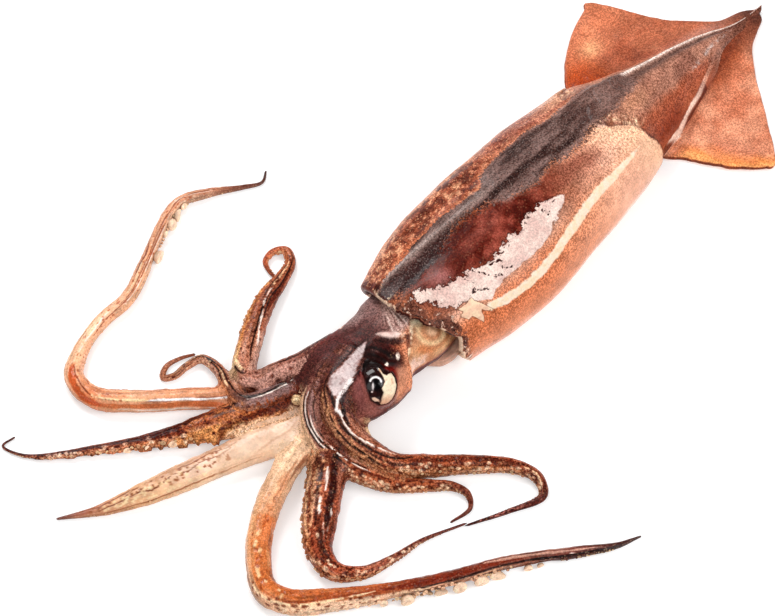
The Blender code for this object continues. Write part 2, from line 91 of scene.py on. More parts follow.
LIMBS = {
    "arm_1": dict(flat=0.95,
        route=[(-40, -6, 19), (-53, 1, 15.5), (-62, 7, 12.5), (-69, 11, 10), (-71, 17, 8), (-66, 23, 6),
               (-49.5, 33.5, 5), (-36, 40, 4.3), (-22, 43.5, 3), (-12.5, 47, 2.3), (-9, 53, 2), (-13.5, 57, 1.8),
               (-19.5, 56, 1.5), (-22, 50.5, 1.3), (-22.5, 46, 1.2)],
        width=[(0, 12), (0.25, 11), (0.45, 10.6), (0.6, 9.4), (0.72, 6.2), (0.82, 4), (1, 1.3)]),
    "arm_2": dict(flat=0.95,
        route=[(-44, -14, 20), (-54, -8, 15.5), (-65, -1, 12.5), (-75, 4, 12), (-81, 10, 11.5), (-79, 20, 8.5),
               (-74, 31, 4), (-74.5, 41, 2.4), (-81.5, 43.5, 1.7), (-88, 44, 1.4), (-92, 47, 1.3), (-87, 50, 1.1),
               (-80, 48.5, 1), (-74.5, 45.5, 0.9)],
        width=[(0, 7.5), (0.3, 6.3), (0.58, 5.4), (0.7, 3.7), (0.82, 2.9), (1, 1.2)]),
    "arm_3": dict(flat=0.8,
        route=[(-50, -14, 13), (-63, -8, 11), (-74, -1, 8), (-84, 5, 6.5), (-94, 12, 5.5), (-107, 21, 3.9),
               (-120, 30, 2.9), (-135, 42, 2.1), (-150, 54, 1.6), (-158.5, 64, 1.1), (-161, 73.5, 0.8), (-155, 73, 0.7)],
        width=[(0, 14), (0.3, 14.2), (0.38, 12.5), (0.46, 8.8), (0.6, 5.2), (0.78, 3.2), (0.9, 1.4), (1, 0.9)]),
    "arm_4": dict(flat=0.62,
        route=[(-54, -20, 9.5), (-64, -17.8, 8), (-77, -13.6, 6), (-89.5, -7, 4.6), (-106, -0.4, 3.9), (-122, 6.1, 3.4),
               (-138.5, 13.1, 2.4), (-154.5, 21, 1.4), (-169, 31.3, 0.8)],
        width=[(0, 15), (0.25, 16), (0.4, 13.5), (0.62, 12), (0.78, 8), (0.9, 3.6), (1, 1)]),
    "arm_5": dict(flat=0.8,
        route=[(-56, -22, 9), (-69.8, -31.2, 7.5), (-82.8, -40.8, 6.5), (-98.6, -52, 6.3), (-107.6, -60.8, 5.3),
               (-109.8, -70.5, 4.3), (-102.6, -79.4, 3.3), (-88.6, -84.4, 2.4), (-74, -87.4, 1.3), (-57, -95, 0.9)],
        width=[(0, 13), (0.2, 16.5), (0.36, 15), (0.5, 10.5), (0.62, 6.4), (0.76, 3.4), (0.88, 1.7), (1, 1.0)]),
    "arm_6": dict(flat=0.95,
        route=[(-46, -11, 22), (-58, -13, 20.5), (-66.5, -17, 17), (-71.5, -24, 12.5), (-73, -34, 8.5), (-71.5, -46, 6.2),
               (-65.5, -60, 4.3), (-54, -73, 2.9), (-47.5, -80.3, 2.3), (-45.8, -87, 1.8), (-50, -92.2, 1.3), (-60, -90.5, 0.9)],
        width=[(0, 9), (0.38, 8.8), (0.55, 7.4), (0.7, 5.6), (0.82, 3.8), (0.9, 2.2), (1, 0.9)]),
    "arm_7": dict(flat=0.95,
        route=[(-38, -16, 24.5), (-48, -17.5, 24.5), (-56, -20, 23), (-60.5, -26, 19), (-63, -34, 14), (-62, -45, 10),
               (-58, -57.5, 6.5), (-47.6, -67.6, 5), (-33.6, -81.2, 4.1), (-23, -94, 3.2), (-20.5, -104, 2.6), (-25.5, -111, 2),
               (-40, -105, 1.2), (-56, -96.5, 0.8)],
        width=[(0, 11), (0.25, 11.6), (0.4, 10.6), (0.52, 8.8), (0.64, 7), (0.74, 5), (0.84, 2.7), (1, 1.0)]),
    "arm_8": dict(flat=0.85,
        route=[(-42, -22, 17), (-49, -26, 15), (-54.5, -31, 10), (-57.5, -38, 6), (-57.5, -46, 3.6), (-54, -54.5, 1.8)],
        width=[(0, 9), (0.5, 8.4), (0.75, 6), (1, 1.6)]),
    "tentacle_1": dict(flat=0.95,
        route=[(-54, -4, 7), (-64, 3, 5.2), (-74, 11, 4.4), (-93, 30, 4.3), (-110, 47, 4.3), (-119.5, 60, 4.2),
               (-118.5, 74, 4), (-107.5, 82, 3.4), (-91.5, 86.5, 2.8), (-74, 87, 2.9), (-58.4, 93.2, 2.8), (-44, 99.8, 2.7),
               (-30.5, 105.5, 2.5), (-21.5, 106.5, 2.3), (-9, 100.5, 1.6), (3, 92, 1.1), (11, 87.5, 0.9), (16.5, 90.5, 0.8)],
        width=[(0, 9), (0.32, 9.6), (0.42, 8.6), (0.5, 6.3), (0.58, 6.5), (0.74, 6), (0.85, 5), (0.92, 2.8), (1, 0.9)]),
    "tentacle_2": dict(flat=0.95,
        route=[(-56, -18, 9), (-70, -21, 6.5), (-84, -23, 5.8), (-98, -27, 5.2), (-113.5, -34, 5), (-127.5, -45, 5),
               (-135, -57, 5), (-131.8, -67.2, 4.7), (-119.5, -79, 4.2), (-98, -96, 3.7), (-77, -110, 3.1), (-61, -119, 2.5),
               (-46, -130, 2.4), (-33, -140, 2), (-22, -148, 1.3), (-12, -152.5, 0.7)],
        width=[(0, 11), (0.1, 12), (0.3, 10.6), (0.42, 10.4), (0.56, 7.8), (0.7, 7), (0.82, 5.8), (0.92, 4), (1, 0.8)]),
}


# ------------------------------------------------------------------ numbers
def curve(table, t):
    """Monotone cubic through (position, value) pairs, for an array of positions."""
    xs = np.array([a for a, _ in table], float)
    ys = np.array([b for _, b in table], float)
    t = np.clip(np.asarray(t, float), xs[0], xs[-1])
    slope = np.diff(ys) / np.diff(xs)
    tang = np.zeros(len(xs))
    tang[0], tang[-1] = slope[0], slope[-1]
    for i in range(1, len(xs) - 1):
        if slope[i - 1] * slope[i] > 0:
            tang[i] = 2 * slope[i - 1] * slope[i] / (slope[i - 1] + slope[i])
    i = np.clip(np.searchsorted(xs, t, side="right") - 1, 0, len(xs) - 2)
    h = xs[i + 1] - xs[i]
    u = (t - xs[i]) / h
    return ((2 * u**3 - 3 * u**2 + 1) * ys[i] + (u**3 - 2 * u**2 + u) * h * tang[i]
            + (-2 * u**3 + 3 * u**2) * ys[i + 1] + (u**3 - u**2) * h * tang[i + 1])


def step(lo, hi, v):
    """Smooth step from 0 at lo to 1 at hi."""
    u = np.clip((np.asarray(v, float) - lo) / (hi - lo), 0, 1)
    return u * u * (3 - 2 * u)


def bump(v, centre, width):
    return np.exp(-((np.asarray(v, float) - centre) / width) ** 2)


def _hash(i, j, k, seed):
    n = (i * 374761393 + j * 668265263 + k * 2147483647 + seed * 1274126177) & 0x7FFFFFFF
    n = ((n ^ (n >> 13)) * 1274126177) & 0x7FFFFFFF
    n = ((n ^ (n >> 16)) * 668265263) & 0x7FFFFFFF
    return ((n ^ (n >> 15)) & 0xFFFFF) / float(0xFFFFF) * 2 - 1


def noise(p, size, seed=1, layers=1):
    """Smooth lattice noise in -1..1 at points p (n, 3), with features about `size` mm."""
    p = np.asarray(p, float)
    total, amp, norm = np.zeros(len(p)), 1.0, 0.0
    for layer in range(layers):
        q = p / size * 2**layer + 17.3 * (layer + 1)
        f = np.floor(q).astype(np.int64)
        w = q - f
        w = w * w * w * (w * (w * 6 - 15) + 10)
        out = np.zeros(len(p))
        for a in (0, 1):
            for b in (0, 1):
                for c in (0, 1):
                    k = ((w[:, 0] if a else 1 - w[:, 0]) * (w[:, 1] if b else 1 - w[:, 1])
                         * (w[:, 2] if c else 1 - w[:, 2]))
                    out += k * _hash(f[:, 0] + a, f[:, 1] + b, f[:, 2] + c, seed + layer * 31)
        total += out * amp
        norm += amp
        amp *= 0.5
    return total / norm


def smooth_route(points, count=600):
    p = np.array(points, float)
    p = np.vstack([2 * p[0] - p[1], p, 2 * p[-1] - p[-2]])
    out = []
    for i in range(1, len(p) - 2):
        a, b, c, d = p[i - 1:i + 3]
        t1 = np.linalg.norm(b - a) ** 0.5
        t2 = t1 + np.linalg.norm(c - b) ** 0.5
        t3 = t2 + np.linalg.norm(d - c) ** 0.5
        t = np.linspace(t1, t2, 40, endpoint=False)[:, None]
        a1 = (t1 - t) / t1 * a + t / t1 * b
        a2 = (t2 - t) / (t2 - t1) * b + (t - t1) / (t2 - t1) * c
        a3 = (t3 - t) / (t3 - t2) * c + (t - t2) / (t3 - t2) * d
        b1 = (t2 - t) / t2 * a1 + t / t2 * a2
        b2 = (t3 - t) / (t3 - t1) * a2 + (t - t1) / (t3 - t1) * a3
        out.append((t2 - t) / (t2 - t1) * b1 + (t - t1) / (t2 - t1) * b2)
    out = np.vstack(out + [p[-2][None]])
    arc = np.concatenate([[0], np.cumsum(np.linalg.norm(np.diff(out, axis=0), axis=1))])
    even = np.linspace(0, arc[-1], count)
    return np.stack([np.interp(even, arc, out[:, k]) for k in range(3)], axis=1), even


# ------------------------------------------------------------------ meshes
def linear(r, g, b):
    """A display colour, 0 to 255, as linear light."""
    c = np.array((r, g, b), float) / 255
    return np.where(c <= 0.04045, c / 12.92, ((c + 0.055) / 1.055) ** 2.4)


def make_mesh(name, points, faces, attrs=None, material=None, smooth=True):
    mesh = bpy.data.meshes.new(name)
    pts = (np.asarray(points, float) - ORIGIN) * S
    mesh.vertices.add(len(pts))
    mesh.vertices.foreach_set("co", pts.astype(np.float32).ravel())
    faces = [np.asarray(f) for f in faces]           # arrays (n, 3) or (n, 4)
    loops = np.concatenate([f.ravel() for f in faces if len(f)])
    sizes = np.concatenate([np.full(len(f), f.shape[1]) for f in faces if len(f)])
    mesh.loops.add(len(loops))
    mesh.loops.foreach_set("vertex_index", loops.astype(np.int32))
    mesh.polygons.add(len(sizes))
    starts = np.concatenate([[0], np.cumsum(sizes)[:-1]])
    mesh.polygons.foreach_set("loop_start", starts.astype(np.int32))
    mesh.polygons.foreach_set("loop_total", sizes.astype(np.int32))
    mesh.update(calc_edges=True)
    mesh.validate()
    if smooth:
        mesh.shade_smooth()
    for key, value in (attrs or {}).items():
        value = np.asarray(value, float)
        if value.ndim == 2:
            at = mesh.attributes.new(key, "FLOAT_COLOR", "POINT")
            rgba = np.ones((len(value), 4), np.float32)
            rgba[:, :3] = np.clip(value, 0, 1)
            at.data.foreach_set("color", rgba.ravel())
        else:
            at = mesh.attributes.new(key, "FLOAT", "POINT")
            at.data.foreach_set("value", value.astype(np.float32))
    if material:
        mesh.materials.append(material)
    obj = bpy.data.objects.new(name, mesh)
    bpy.context.scene.collection.objects.link(obj)
    return obj


def grid_faces(rows, cols, wrap=True, offset=0):
    """Quads of a grid of rows x cols points; wrap joins the last column to the first."""
    r = np.arange(rows - 1)[:, None]
    c = np.arange(cols if wrap else cols - 1)[None, :]
    n = (c + 1) % cols
    return (np.stack([r * cols + c, r * cols + n, (r + 1) * cols + n, (r + 1) * cols + c], axis=-1)
            .reshape(-1, 4) + offset)


def fan(ring, centre):
    ring = np.asarray(ring)
    return np.stack([np.full(len(ring), centre), ring, np.roll(ring, -1)], axis=1)


def normals(points, rows, cols, wrap=True):
    """Unit normals of a grid of points, pointing away from its rows' middles."""
    g = points.reshape(rows, cols, 3)
    du = np.gradient(g, axis=0)
    if wrap:
        dv = (np.roll(g, -1, 1) - np.roll(g, 1, 1)) / 2
    else:
        dv = np.gradient(g, axis=1)
    n = np.cross(du, dv)
    n /= np.maximum(np.linalg.norm(n, axis=2, keepdims=True), 1e-9)
    mid = g.mean(1, keepdims=True)
    flip = np.sign(((g - mid) * n).sum(2).mean())
    return (n * flip).reshape(-1, 3)


def mix(a, b, k):
    """Blends colours the way paint looks, so that dark marks stay dark."""
    a, b = np.clip(a, 0, None) ** 0.4, np.clip(b, 0, None) ** 0.4
    return (a + (b - a) * np.clip(np.asarray(k), 0, 1)[:, None]) ** 2.5


# ------------------------------------------------------------------ solids as distance fields
class Tube:
    """A limb's route with its frame and sizes; answers how far points are from its skin."""

    def __init__(self, spec, count=600):
        self.p, self.arc = smooth_route(spec["route"], count)
        self.length = self.arc[-1]
        t = np.gradient(self.p, self.arc, axis=0)
        k = np.ones(9) / 9
        t = np.stack([np.convolve(np.pad(t[:, i], 4, "edge"), k, "valid") for i in range(3)], axis=1)
        self.t = t / np.linalg.norm(t, axis=1)[:, None]
        side = np.cross((0, 0, 1.0), self.t)
        self.side = side / np.linalg.norm(side, axis=1)[:, None]
        self.up = np.cross(self.t, self.side)
        self.half = curve(spec["width"], self.arc / self.length) / 2
        self.flat = spec["flat"]

    def at(self, s):
        f = lambda a: np.stack([np.interp(s, self.arc, a[:, k]) for k in range(3)], axis=1)
        return f(self.p), f(self.t), f(self.side), f(self.up), np.interp(s, self.arc, self.half)

    def distance(self, q):
        sub = slice(None, None, 4)
        best = np.full(len(q), 1e9)
        idx = np.zeros(len(q), int)
        pts = self.p[sub]
        for a in range(0, len(q), 20000):
            d2 = ((q[a:a + 20000, None, :] - pts[None]) ** 2).sum(2)
            idx[a:a + 20000] = d2.argmin(1)
        i = idx * 4
        rel = q - self.p[i]
        along = (rel * self.t[i]).sum(1)
        a = (rel * self.side[i]).sum(1)
        b = (rel * self.up[i]).sum(1)
        h = self.half[i]
        v = h * self.flat
        r = np.sqrt((a / h) ** 2 + (b / v) ** 2)
        d = (r - 1) * np.where(r > 1e-6, np.sqrt(a * a + b * b) / np.maximum(r, 1e-6), v)
        over = np.maximum(np.abs(along) - 1.0, 0) * ((i == 0) | (i >= len(self.p) - 4))
        return np.sqrt(np.maximum(d, 0) ** 2 + over**2) + np.minimum(d, 0), self.arc[i]


def head_distance(q):
    x = np.clip(q[:, 0], -64, 6)
    y, half, top, low = (curve([(-h[0], h[k]) for h in HEAD], -x) for k in range(1, 5))
    mid, tall = (top + low) / 2, (top - low) / 2
    a, b = q[:, 1] - y, q[:, 2] - mid
    r = (np.abs(a / half) ** 2.3 + np.abs(b / tall) ** 2.3) ** (1 / 2.3)
    d = (r - 1) * np.sqrt(a * a + b * b) / np.maximum(r, 1e-6)
    over = np.maximum(-64 - q[:, 0], 0)
    return np.where(over > 0, np.sqrt(np.maximum(d, 0) ** 2 + over**2) + np.minimum(d, 0) * 0, d)


TUBES = {name: Tube(spec) for name, spec in LIMBS.items()}


def union_field(q, k=3.5, leave_out=None):
    """Smooth union of the head and the limbs near it."""
    total = head_distance(q) if leave_out != "head" else np.full(len(q), 50.0)
    for name, tube in TUBES.items():
        if name == leave_out:
            continue
        d, s = tube.distance(q)
        h = np.maximum(k - np.abs(total - d), 0) / k
        total = np.minimum(total, d) - h * h * k / 4
    return total


def melt(points, nrm, own, k=3.5, rounds=3, near=lambda q: np.ones(len(q), bool)):
    """Moves points out along nrm to the smooth union with the neighbours, where the neighbours are close."""
    pts = points.copy()
    pick = np.where(near(pts))[0]
    if not len(pick):
        return pts
    other = union_field(pts[pick], k, leave_out=own)
    keep = (other < k * 1.3) & (other > -4.5)
    pick, other = pick[keep], other[keep]
    weight = step(-4.5, -2.0, other)
    q, n = pts[pick].copy(), nrm[pick]
    moved = np.zeros(len(q))
    for _ in range(rounds):
        f = union_field(q, k)
        eps = 0.25
        g = (union_field(q + n * eps, k) - f) / eps
        t = np.clip(-f / np.clip(g, 0.35, 2), -1.0, 1.6)
        t = np.where(moved + t > 3.2, 3.2 - moved, t)
        t = np.where(moved + t < 0, -moved, t)
        q = q + n * t[:, None]
        moved += t
    pts[pick] = pts[pick] + nrm[pick] * (moved * weight)[:, None]
    return pts



# ------------------------------------------------------------------ materials
class Graph:
    """A material's node tree, with short ways to add to it."""

    def __init__(self, name):
        self.mat = bpy.data.materials.new(name)
        self.mat.use_nodes = True
        self.tree = self.mat.node_tree
        self.bsdf = self.tree.nodes["Principled BSDF"]
        self.place = self.add("ShaderNodeTexCoord").outputs["Object"]

    def add(self, kind, **props):
        node = self.tree.nodes.new(kind)
        for key, value in props.items():
            setattr(node, key, value)
        return node

    def put(self, socket, value):
        if isinstance(value, bpy.types.NodeSocket):
            self.tree.links.new(value, socket)
        elif isinstance(value, (tuple, list, np.ndarray)):
            v = [float(x) for x in value]
            socket.default_value = (*v, 1.0) if len(socket.default_value) == 4 and len(v) == 3 else v
        else:
            socket.default_value = value

    def math(self, op, a, b=0.0, clamp=False):
        node = self.add("ShaderNodeMath", operation=op, use_clamp=clamp)
        self.put(node.inputs[0], a)
        self.put(node.inputs[1], b)
        return node.outputs[0]

    def map(self, value, lo, hi, a=0.0, b=1.0):
        node = self.add("ShaderNodeMapRange", interpolation_type="SMOOTHSTEP")
        for i, v in enumerate((value, lo, hi, a, b)):
            self.put(node.inputs[i], v)
        return node.outputs[0]

    def mix(self, fac, a, b):
        node = self.add("ShaderNodeMix", data_type="RGBA")
        self.put(node.inputs[0], fac)
        self.put(node.inputs[6], a)
        self.put(node.inputs[7], b)
        return node.outputs[2]

    def scale(self, colour, by):
        node = self.add("ShaderNodeVectorMath", operation="SCALE")
        self.put(node.inputs[0], colour)
        self.put(node.inputs[3], by)
        return node.outputs[0]

    def deepen(self, colour, power):
        """Deeper, fuller colour: each part of it raised to a power."""
        node = self.add("ShaderNodeGamma")
        self.put(node.inputs[0], colour)
        node.inputs[1].default_value = power
        return node.outputs[0]

    def noise(self, size, detail=2.0, rough=0.6, where=None):
        """Noise with features about size mm across."""
        node = self.add("ShaderNodeTexNoise")
        self.put(node.inputs["Vector"], where or self.place)
        node.inputs["Scale"].default_value = 1000.0 / size
        node.inputs["Detail"].default_value = detail
        node.inputs["Roughness"].default_value = rough
        return node.outputs[0]

    def cells(self, size, feature="F1"):
        node = self.add("ShaderNodeTexVoronoi", feature=feature)
        self.put(node.inputs["Vector"], self.place)
        node.inputs["Scale"].default_value = 1000.0 / size
        return node.outputs["Distance"], node.outputs["Color"]

    def attr(self, name):
        node = self.add("ShaderNodeAttribute", attribute_name=name)
        return node.outputs["Color"] if name in ("Col", "Dark") else node.outputs["Fac"]

    def stretched(self, vector):
        node = self.add("ShaderNodeVectorMath", operation="MULTIPLY")
        self.put(node.inputs[0], self.place)
        self.put(node.inputs[1], vector)
        return node.outputs[0]


def wet_skin(name, grain=0.55, dots=0.6, dot_size=1.0, bump=0.45, rough=0.34, coat=0.6, coat_rough=0.12,
             through=0.0, fleck=(236, 184, 142), extra=None, specular=0.5, deep=1.12):
    g = Graph(name)
    colour, spk, gold, wet = g.attr("Col"), g.attr("spk"), g.attr("gold"), g.attr("wet")
    broad = g.map(g.noise(7.0, 3), 0.32, 0.68, 0.86, 1.12)
    colour = g.scale(colour, broad)
    fine = g.noise(0.85, 3, 0.8)
    amount = g.math("MULTIPLY", g.map(fine, 0.40, 0.60, -grain, grain), spk)
    light = g.scale(colour, g.math("ADD", g.math("MULTIPLY", amount, 0.8, clamp=True), 1.0))
    colour = g.mix(g.math("MULTIPLY", amount, -1.0, clamp=True), light, g.scale(g.deepen(colour, 1.45), 0.62))
    # dark chromatophores, in patches
    dist, rnd = g.cells(dot_size)
    spot = g.math("MULTIPLY", g.map(dist, 0.2, 0.42, 1.0, 0.0), g.map(rnd, 0.25, 0.4))
    clump = g.map(g.noise(4.5, 2), 0.36, 0.6, 0.35, 1.0)
    spot = g.math("MULTIPLY", g.math("MULTIPLY", spot, clump), g.math("MULTIPLY", spk, dots), clamp=True)
    dark = g.mix(0.5, g.scale(colour, 0.3), linear(84, 34, 24))
    colour = g.mix(spot, colour, dark)
    # pale flecks
    far, rnd2 = g.cells(dot_size * 1.35)
    speck = g.math("MULTIPLY", g.map(far, 0.22, 0.46, 1.0, 0.0), g.map(rnd2, 0.3, 0.45))
    speck = g.math("MULTIPLY", speck, g.map(g.noise(3.0, 2), 0.4, 0.55))
    speck = g.math("MULTIPLY", speck, gold, clamp=True)
    colour = g.mix(speck, colour, g.mix(0.55, g.scale(colour, 2.3), linear(*fleck)))
    height = g.math("ADD", g.math("MULTIPLY", fine, 0.6), g.math("MULTIPLY", g.noise(2.6, 2), 1.0))
    height = g.math("SUBTRACT", height, g.math("MULTIPLY", spot, 0.25))
    shine = g.map(g.noise(3.4, 3, 0.7), 0.3, 0.7, rough - 0.1, rough + 0.12)
    if extra:
        colour, height, shine = extra(g, colour, height, shine, fine)
    shine = g.math("SUBTRACT", shine, g.math("MULTIPLY", wet, 0.14), clamp=True)
    lump = g.add("ShaderNodeBump")
    lump.inputs["Strength"].default_value = bump
    lump.inputs["Distance"].default_value = 0.0004
    g.put(lump.inputs["Height"], height)
    g.put(g.bsdf.inputs["Normal"], lump.outputs[0])
    g.put(g.bsdf.inputs["Base Color"], g.deepen(colour, deep))
    g.put(g.bsdf.inputs["Roughness"], shine)
    g.bsdf.inputs["Coat Weight"].default_value = coat
    g.bsdf.inputs["Coat Roughness"].default_value = coat_rough
    g.bsdf.inputs["Specular IOR Level"].default_value = specular
    if through:
        g.bsdf.inputs["Subsurface Weight"].default_value = through
        g.bsdf.inputs["Subsurface Radius"].default_value = (1.0, 0.4, 0.25)
        g.bsdf.inputs["Subsurface Scale"].default_value = 0.0016
    return g.mat


def mantle_marks(g, colour, height, shine, fine):
    """The dark band, the pale patch (torn skin painted with a reflection), the cream stripe (a painted highlight) and
    the ragged rim with painted glints, whose edges follow fine noise.
    """
    tone = g.scale(g.attr("Dark"), g.math("ADD", g.map(fine, 0.38, 0.62, -0.5, 0.75), 1.0))
    pale_grain = g.map(g.noise(0.8, 2, 0.8), 0.52, 0.66)
    tone = g.mix(g.math("MULTIPLY", pale_grain, 0.4), tone, linear(176, 154, 146))
    blend = g.math("ADD", g.attr("band"), g.map(g.noise(1.0, 3, 0.8), 0.3, 0.7, -0.42, 0.42))
    colour = g.mix(g.map(blend, 0.32, 0.68), colour, tone)
    # the pale patch: torn skin whose pale colour is also a painted reflection
    wobble = g.math("MULTIPLY", g.map(g.noise(3.6, 5, 0.7), 0.3, 0.7, -1.0, 1.0), 1.9)
    edge = g.math("ADD", g.attr("patch"), g.math("MULTIPLY", wobble, g.map(g.attr("torn"), 0.0, 1.0, 0.15, 1.0)))
    mask = g.map(edge, -0.15, 0.35)
    skin = g.mix(g.map(g.noise(7.0, 3), 0.38, 0.62), linear(228, 194, 184), linear(249, 224, 212))
    skin = g.scale(skin, g.map(g.noise(0.8, 2, 0.8), 0.34, 0.66, 0.76, 1.12))
    outline = g.math("MULTIPLY", g.map(edge, -1.1, -0.2), g.attr("torn"), clamp=True)
    colour = g.mix(g.math("MULTIPLY", outline, 0.85), colour, linear(52, 18, 16))
    colour = g.mix(mask, colour, skin)
    # cracks across it
    crack = g.math("ADD", g.attr("crack"), g.math("MULTIPLY", g.map(g.noise(1.8, 3), 0.3, 0.7, -1, 1), 0.6))
    crack = g.map(crack, -0.05, 0.3)
    colour = g.mix(crack, colour, linear(64, 28, 26))
    # the stripe: a cream band painted as a highlight
    band = g.math("ADD", g.attr("stripe"), g.math("MULTIPLY", g.map(g.noise(3.2, 3, 0.7), 0.3, 0.7, -1, 1), 0.45))
    cream = g.scale(g.mix(g.map(g.noise(3.0, 2), 0.4, 0.6), linear(249, 226, 194), linear(252, 234, 212)),
                    g.map(fine, 0.3, 0.7, 0.9, 1.06))
    colour = g.mix(g.math("MULTIPLY", g.map(band, -0.5, 0.6), 0.92), colour, cream)
    # ragged rim
    rag = g.math("ADD", g.attr("rim"), g.math("MULTIPLY", g.map(g.noise(2.8, 4, 0.7), 0.3, 0.7, -1, 1), 2.4))
    rag = g.map(rag, -0.2, 0.4)
    bark = g.mix(g.map(g.noise(1.4, 4, 0.75), 0.38, 0.62), linear(44, 16, 12), linear(138, 84, 66))
    bark = g.mix(g.map(g.noise(1.9, 3, 0.8), 0.58, 0.65), bark, linear(236, 200, 178))
    colour = g.mix(rag, colour, bark)
    # painted glints scattered over the ragged rim
    glint, rnd = g.cells(3.0)
    glint = g.math("ADD", glint, g.map(g.noise(1.2, 2), 0.3, 0.7, -0.16, 0.16))
    bit = g.math("MULTIPLY", g.math("MULTIPLY", g.map(glint, 0.16, 0.28, 1.0, 0.0), g.map(rnd, 0.78, 0.84)), rag, clamp=True)
    colour = g.mix(bit, colour, linear(252, 232, 216))
    shard = g.math("ADD", g.attr("shard"), g.map(g.noise(1.6, 2), 0.3, 0.7, -0.15, 0.15))
    colour = g.mix(g.math("MULTIPLY", g.map(shard, -0.55, -0.1), 0.6), colour, linear(96, 44, 30))
    colour = g.mix(g.map(shard, -0.1, 0.15), colour, g.scale(g.mix(g.map(g.noise(4.0, 2), 0.4, 0.6), linear(250, 220, 188), linear(240, 198, 170)),
                                                             g.map(fine, 0.3, 0.7, 0.88, 1.06)))
    height = g.math("ADD", height, g.math("MULTIPLY", mask, 0.5))
    height = g.math("SUBTRACT", height, g.math("MULTIPLY", crack, 1.6))
    shine = g.math("SUBTRACT", shine, g.math("MULTIPLY", mask, 0.06))
    return colour, height, shine


MANTLE_SKIN = wet_skin("mantle_skin", grain=0.95, dots=0.7, dot_size=0.85, bump=0.4, rough=0.36, coat=0.05, specular=0.09, extra=mantle_marks,
                       deep=1.1)
FIN_SKIN = wet_skin("fin_skin", grain=0.72, dots=0.6, dot_size=0.85, bump=0.42, rough=0.42, coat=0.06, specular=0.12, through=0.06, deep=1.1)
HEAD_SKIN = wet_skin("head_skin", grain=0.8, dots=0.6, dot_size=0.75, bump=0.3, rough=0.42, coat=0.06, coat_rough=0.4, specular=0.08, deep=1.12)
ARM_SKIN = wet_skin("arm_skin", grain=0.9, dots=0.6, dot_size=0.85, bump=0.5, rough=0.3, coat=0.09, coat_rough=0.1, specular=0.06,
                    fleck=(240, 196, 152), deep=1.18)
PALE_FLESH = wet_skin("pale_flesh", grain=0.26, dots=0.32, dot_size=0.85, bump=0.4, rough=0.34, coat=0.14, through=0.1,
                      specular=0.14, fleck=(250, 226, 190), deep=1.02)
TENTACLE_SKIN = wet_skin("tentacle_skin", grain=0.45, dots=0.55, dot_size=0.8, bump=0.45, rough=0.32, coat=0.14, specular=0.12, through=0.05,
                         fleck=(250, 214, 176), deep=1.14)


# ------------------------------------------------------------------ marks drawn over a surface
def side_of(line, u, v):
    """Distance from points (u, v) to an open line."""
    p = np.array(line, float)
    best = np.full(len(u), 1e9)
    for (a, b), (c, d) in zip(p[:-1], p[1:]):
        w = np.array((c - a, d - b))
        t = np.clip(((u - a) * w[0] + (v - b) * w[1]) / max(w @ w, 1e-9), 0, 1)
        best = np.minimum(best, np.hypot(u - a - t * w[0], v - b - t * w[1]))
    return best


def inside(shape, u, v):
    """Signed distance from points (u, v) to a closed shape's edge, positive inside it."""
    p = np.array(shape, float)
    d = side_of(np.vstack([p, p[:1]]), u, v)
    odd = np.zeros(len(u), bool)
    for (a, b), (c, e) in zip(p, np.roll(p, -1, 0)):
        hit = ((b > v) != (e > v)) & (u < (c - a) * (v - b) / ((e - b) if e != b else 1e-9) + a)
        odd ^= hit
    return np.where(odd, d, -d)


def around(tuples, wide=0.58):
    """(x, degrees round the body) to (x, mm round the body)."""
    return [(x, a * wide) for x, a in tuples]


# marks on the mantle: x in mm, degrees round the body with 90 at the ridge and 180 at the left side
RIDGE_LIGHT = [(-3, 60.5), (8, 68.5), (21, 73), (35, 75.5), (50, 77.5)]
BAND_LEFT = [(-4, 62.5), (8, 65.5), (23, 66), (33, 67), (44, 70.5), (52, 73.5), (58, 64.5), (75, 60), (93, 64), (106, 65), (127, 64.5), (150, 62)]
BAND_RIGHT = [(-4, 78.5), (10, 83), (20, 86), (32, 83), (55, 93), (66, 100), (88, 103), (106, 105), (128, 105), (150, 98)]
PATCH = [(77, 121), (73, 125.5), (64.5, 129.5), (57.5, 133), (49.5, 134.5), (41.5, 134), (32.5, 133), (25.5, 134), (21.5, 135), (17.5, 139),
         (12.5, 132.5), (9, 128), (5, 126.5), (2, 116), (-1, 92.5), (3, 93.5), (4, 99.5), (7, 106.5), (12, 106.5), (17, 111), (24, 114),
         (30, 117.5), (37, 116), (44, 115), (49.5, 116), (54, 113), (62, 112.5), (70, 115)]
CRACKS = [[(21, 113), (23, 120), (25.5, 126.5), (30.5, 131.5)], [(16, 114), (17, 121), (13, 127)], [(19.5, 130.5), (16, 126), (12, 125)],
          [(62, 116.5), (66, 120), (63.5, 122.5)], [(71, 119.5), (67, 117)], [(28, 118), (33, 121), (31, 127), (35, 130)]]
STRIPE = [(125.5, 143.5), (114.5, 142), (101.5, 140.5), (91, 140), (81, 141), (71.5, 143), (62.5, 144.5), (53, 146.5), (45, 148), (36, 149),
          (28, 148), (21, 146), (15.5, 143)]
SHARDS = [[(12.3, 134), (14, 142), (15.5, 149), (12, 143), (10.6, 139), (9.6, 145), (8.1, 151), (6.6, 144), (5.7, 139), (3.5, 140), (2, 133),
           (5, 132), (3.6, 127), (8.7, 129), (11.4, 126.5), (11.4, 131)]]
LOBE = [(60, 122), (84, 119), (108, 119), (117, 124), (126, 130), (136, 133), (147, 135.5), (162, 138.5), (176, 139.5), (200, 138), (230, 134)]
CREASES = [[(131, 72), (129, 81), (127, 90)], [(145, 66), (143, 82), (146, 98)], [(48, 75.5), (52, 84.5), (57, 92.5)],
           [(120, 84), (116, 94), (118, 104)]]
ROOT_FOLD = [(145, -38.8), (156, -38.6), (165, -35.6), (179, -32.2), (194, -26.8), (206, -22.5), (224, -19.5)]


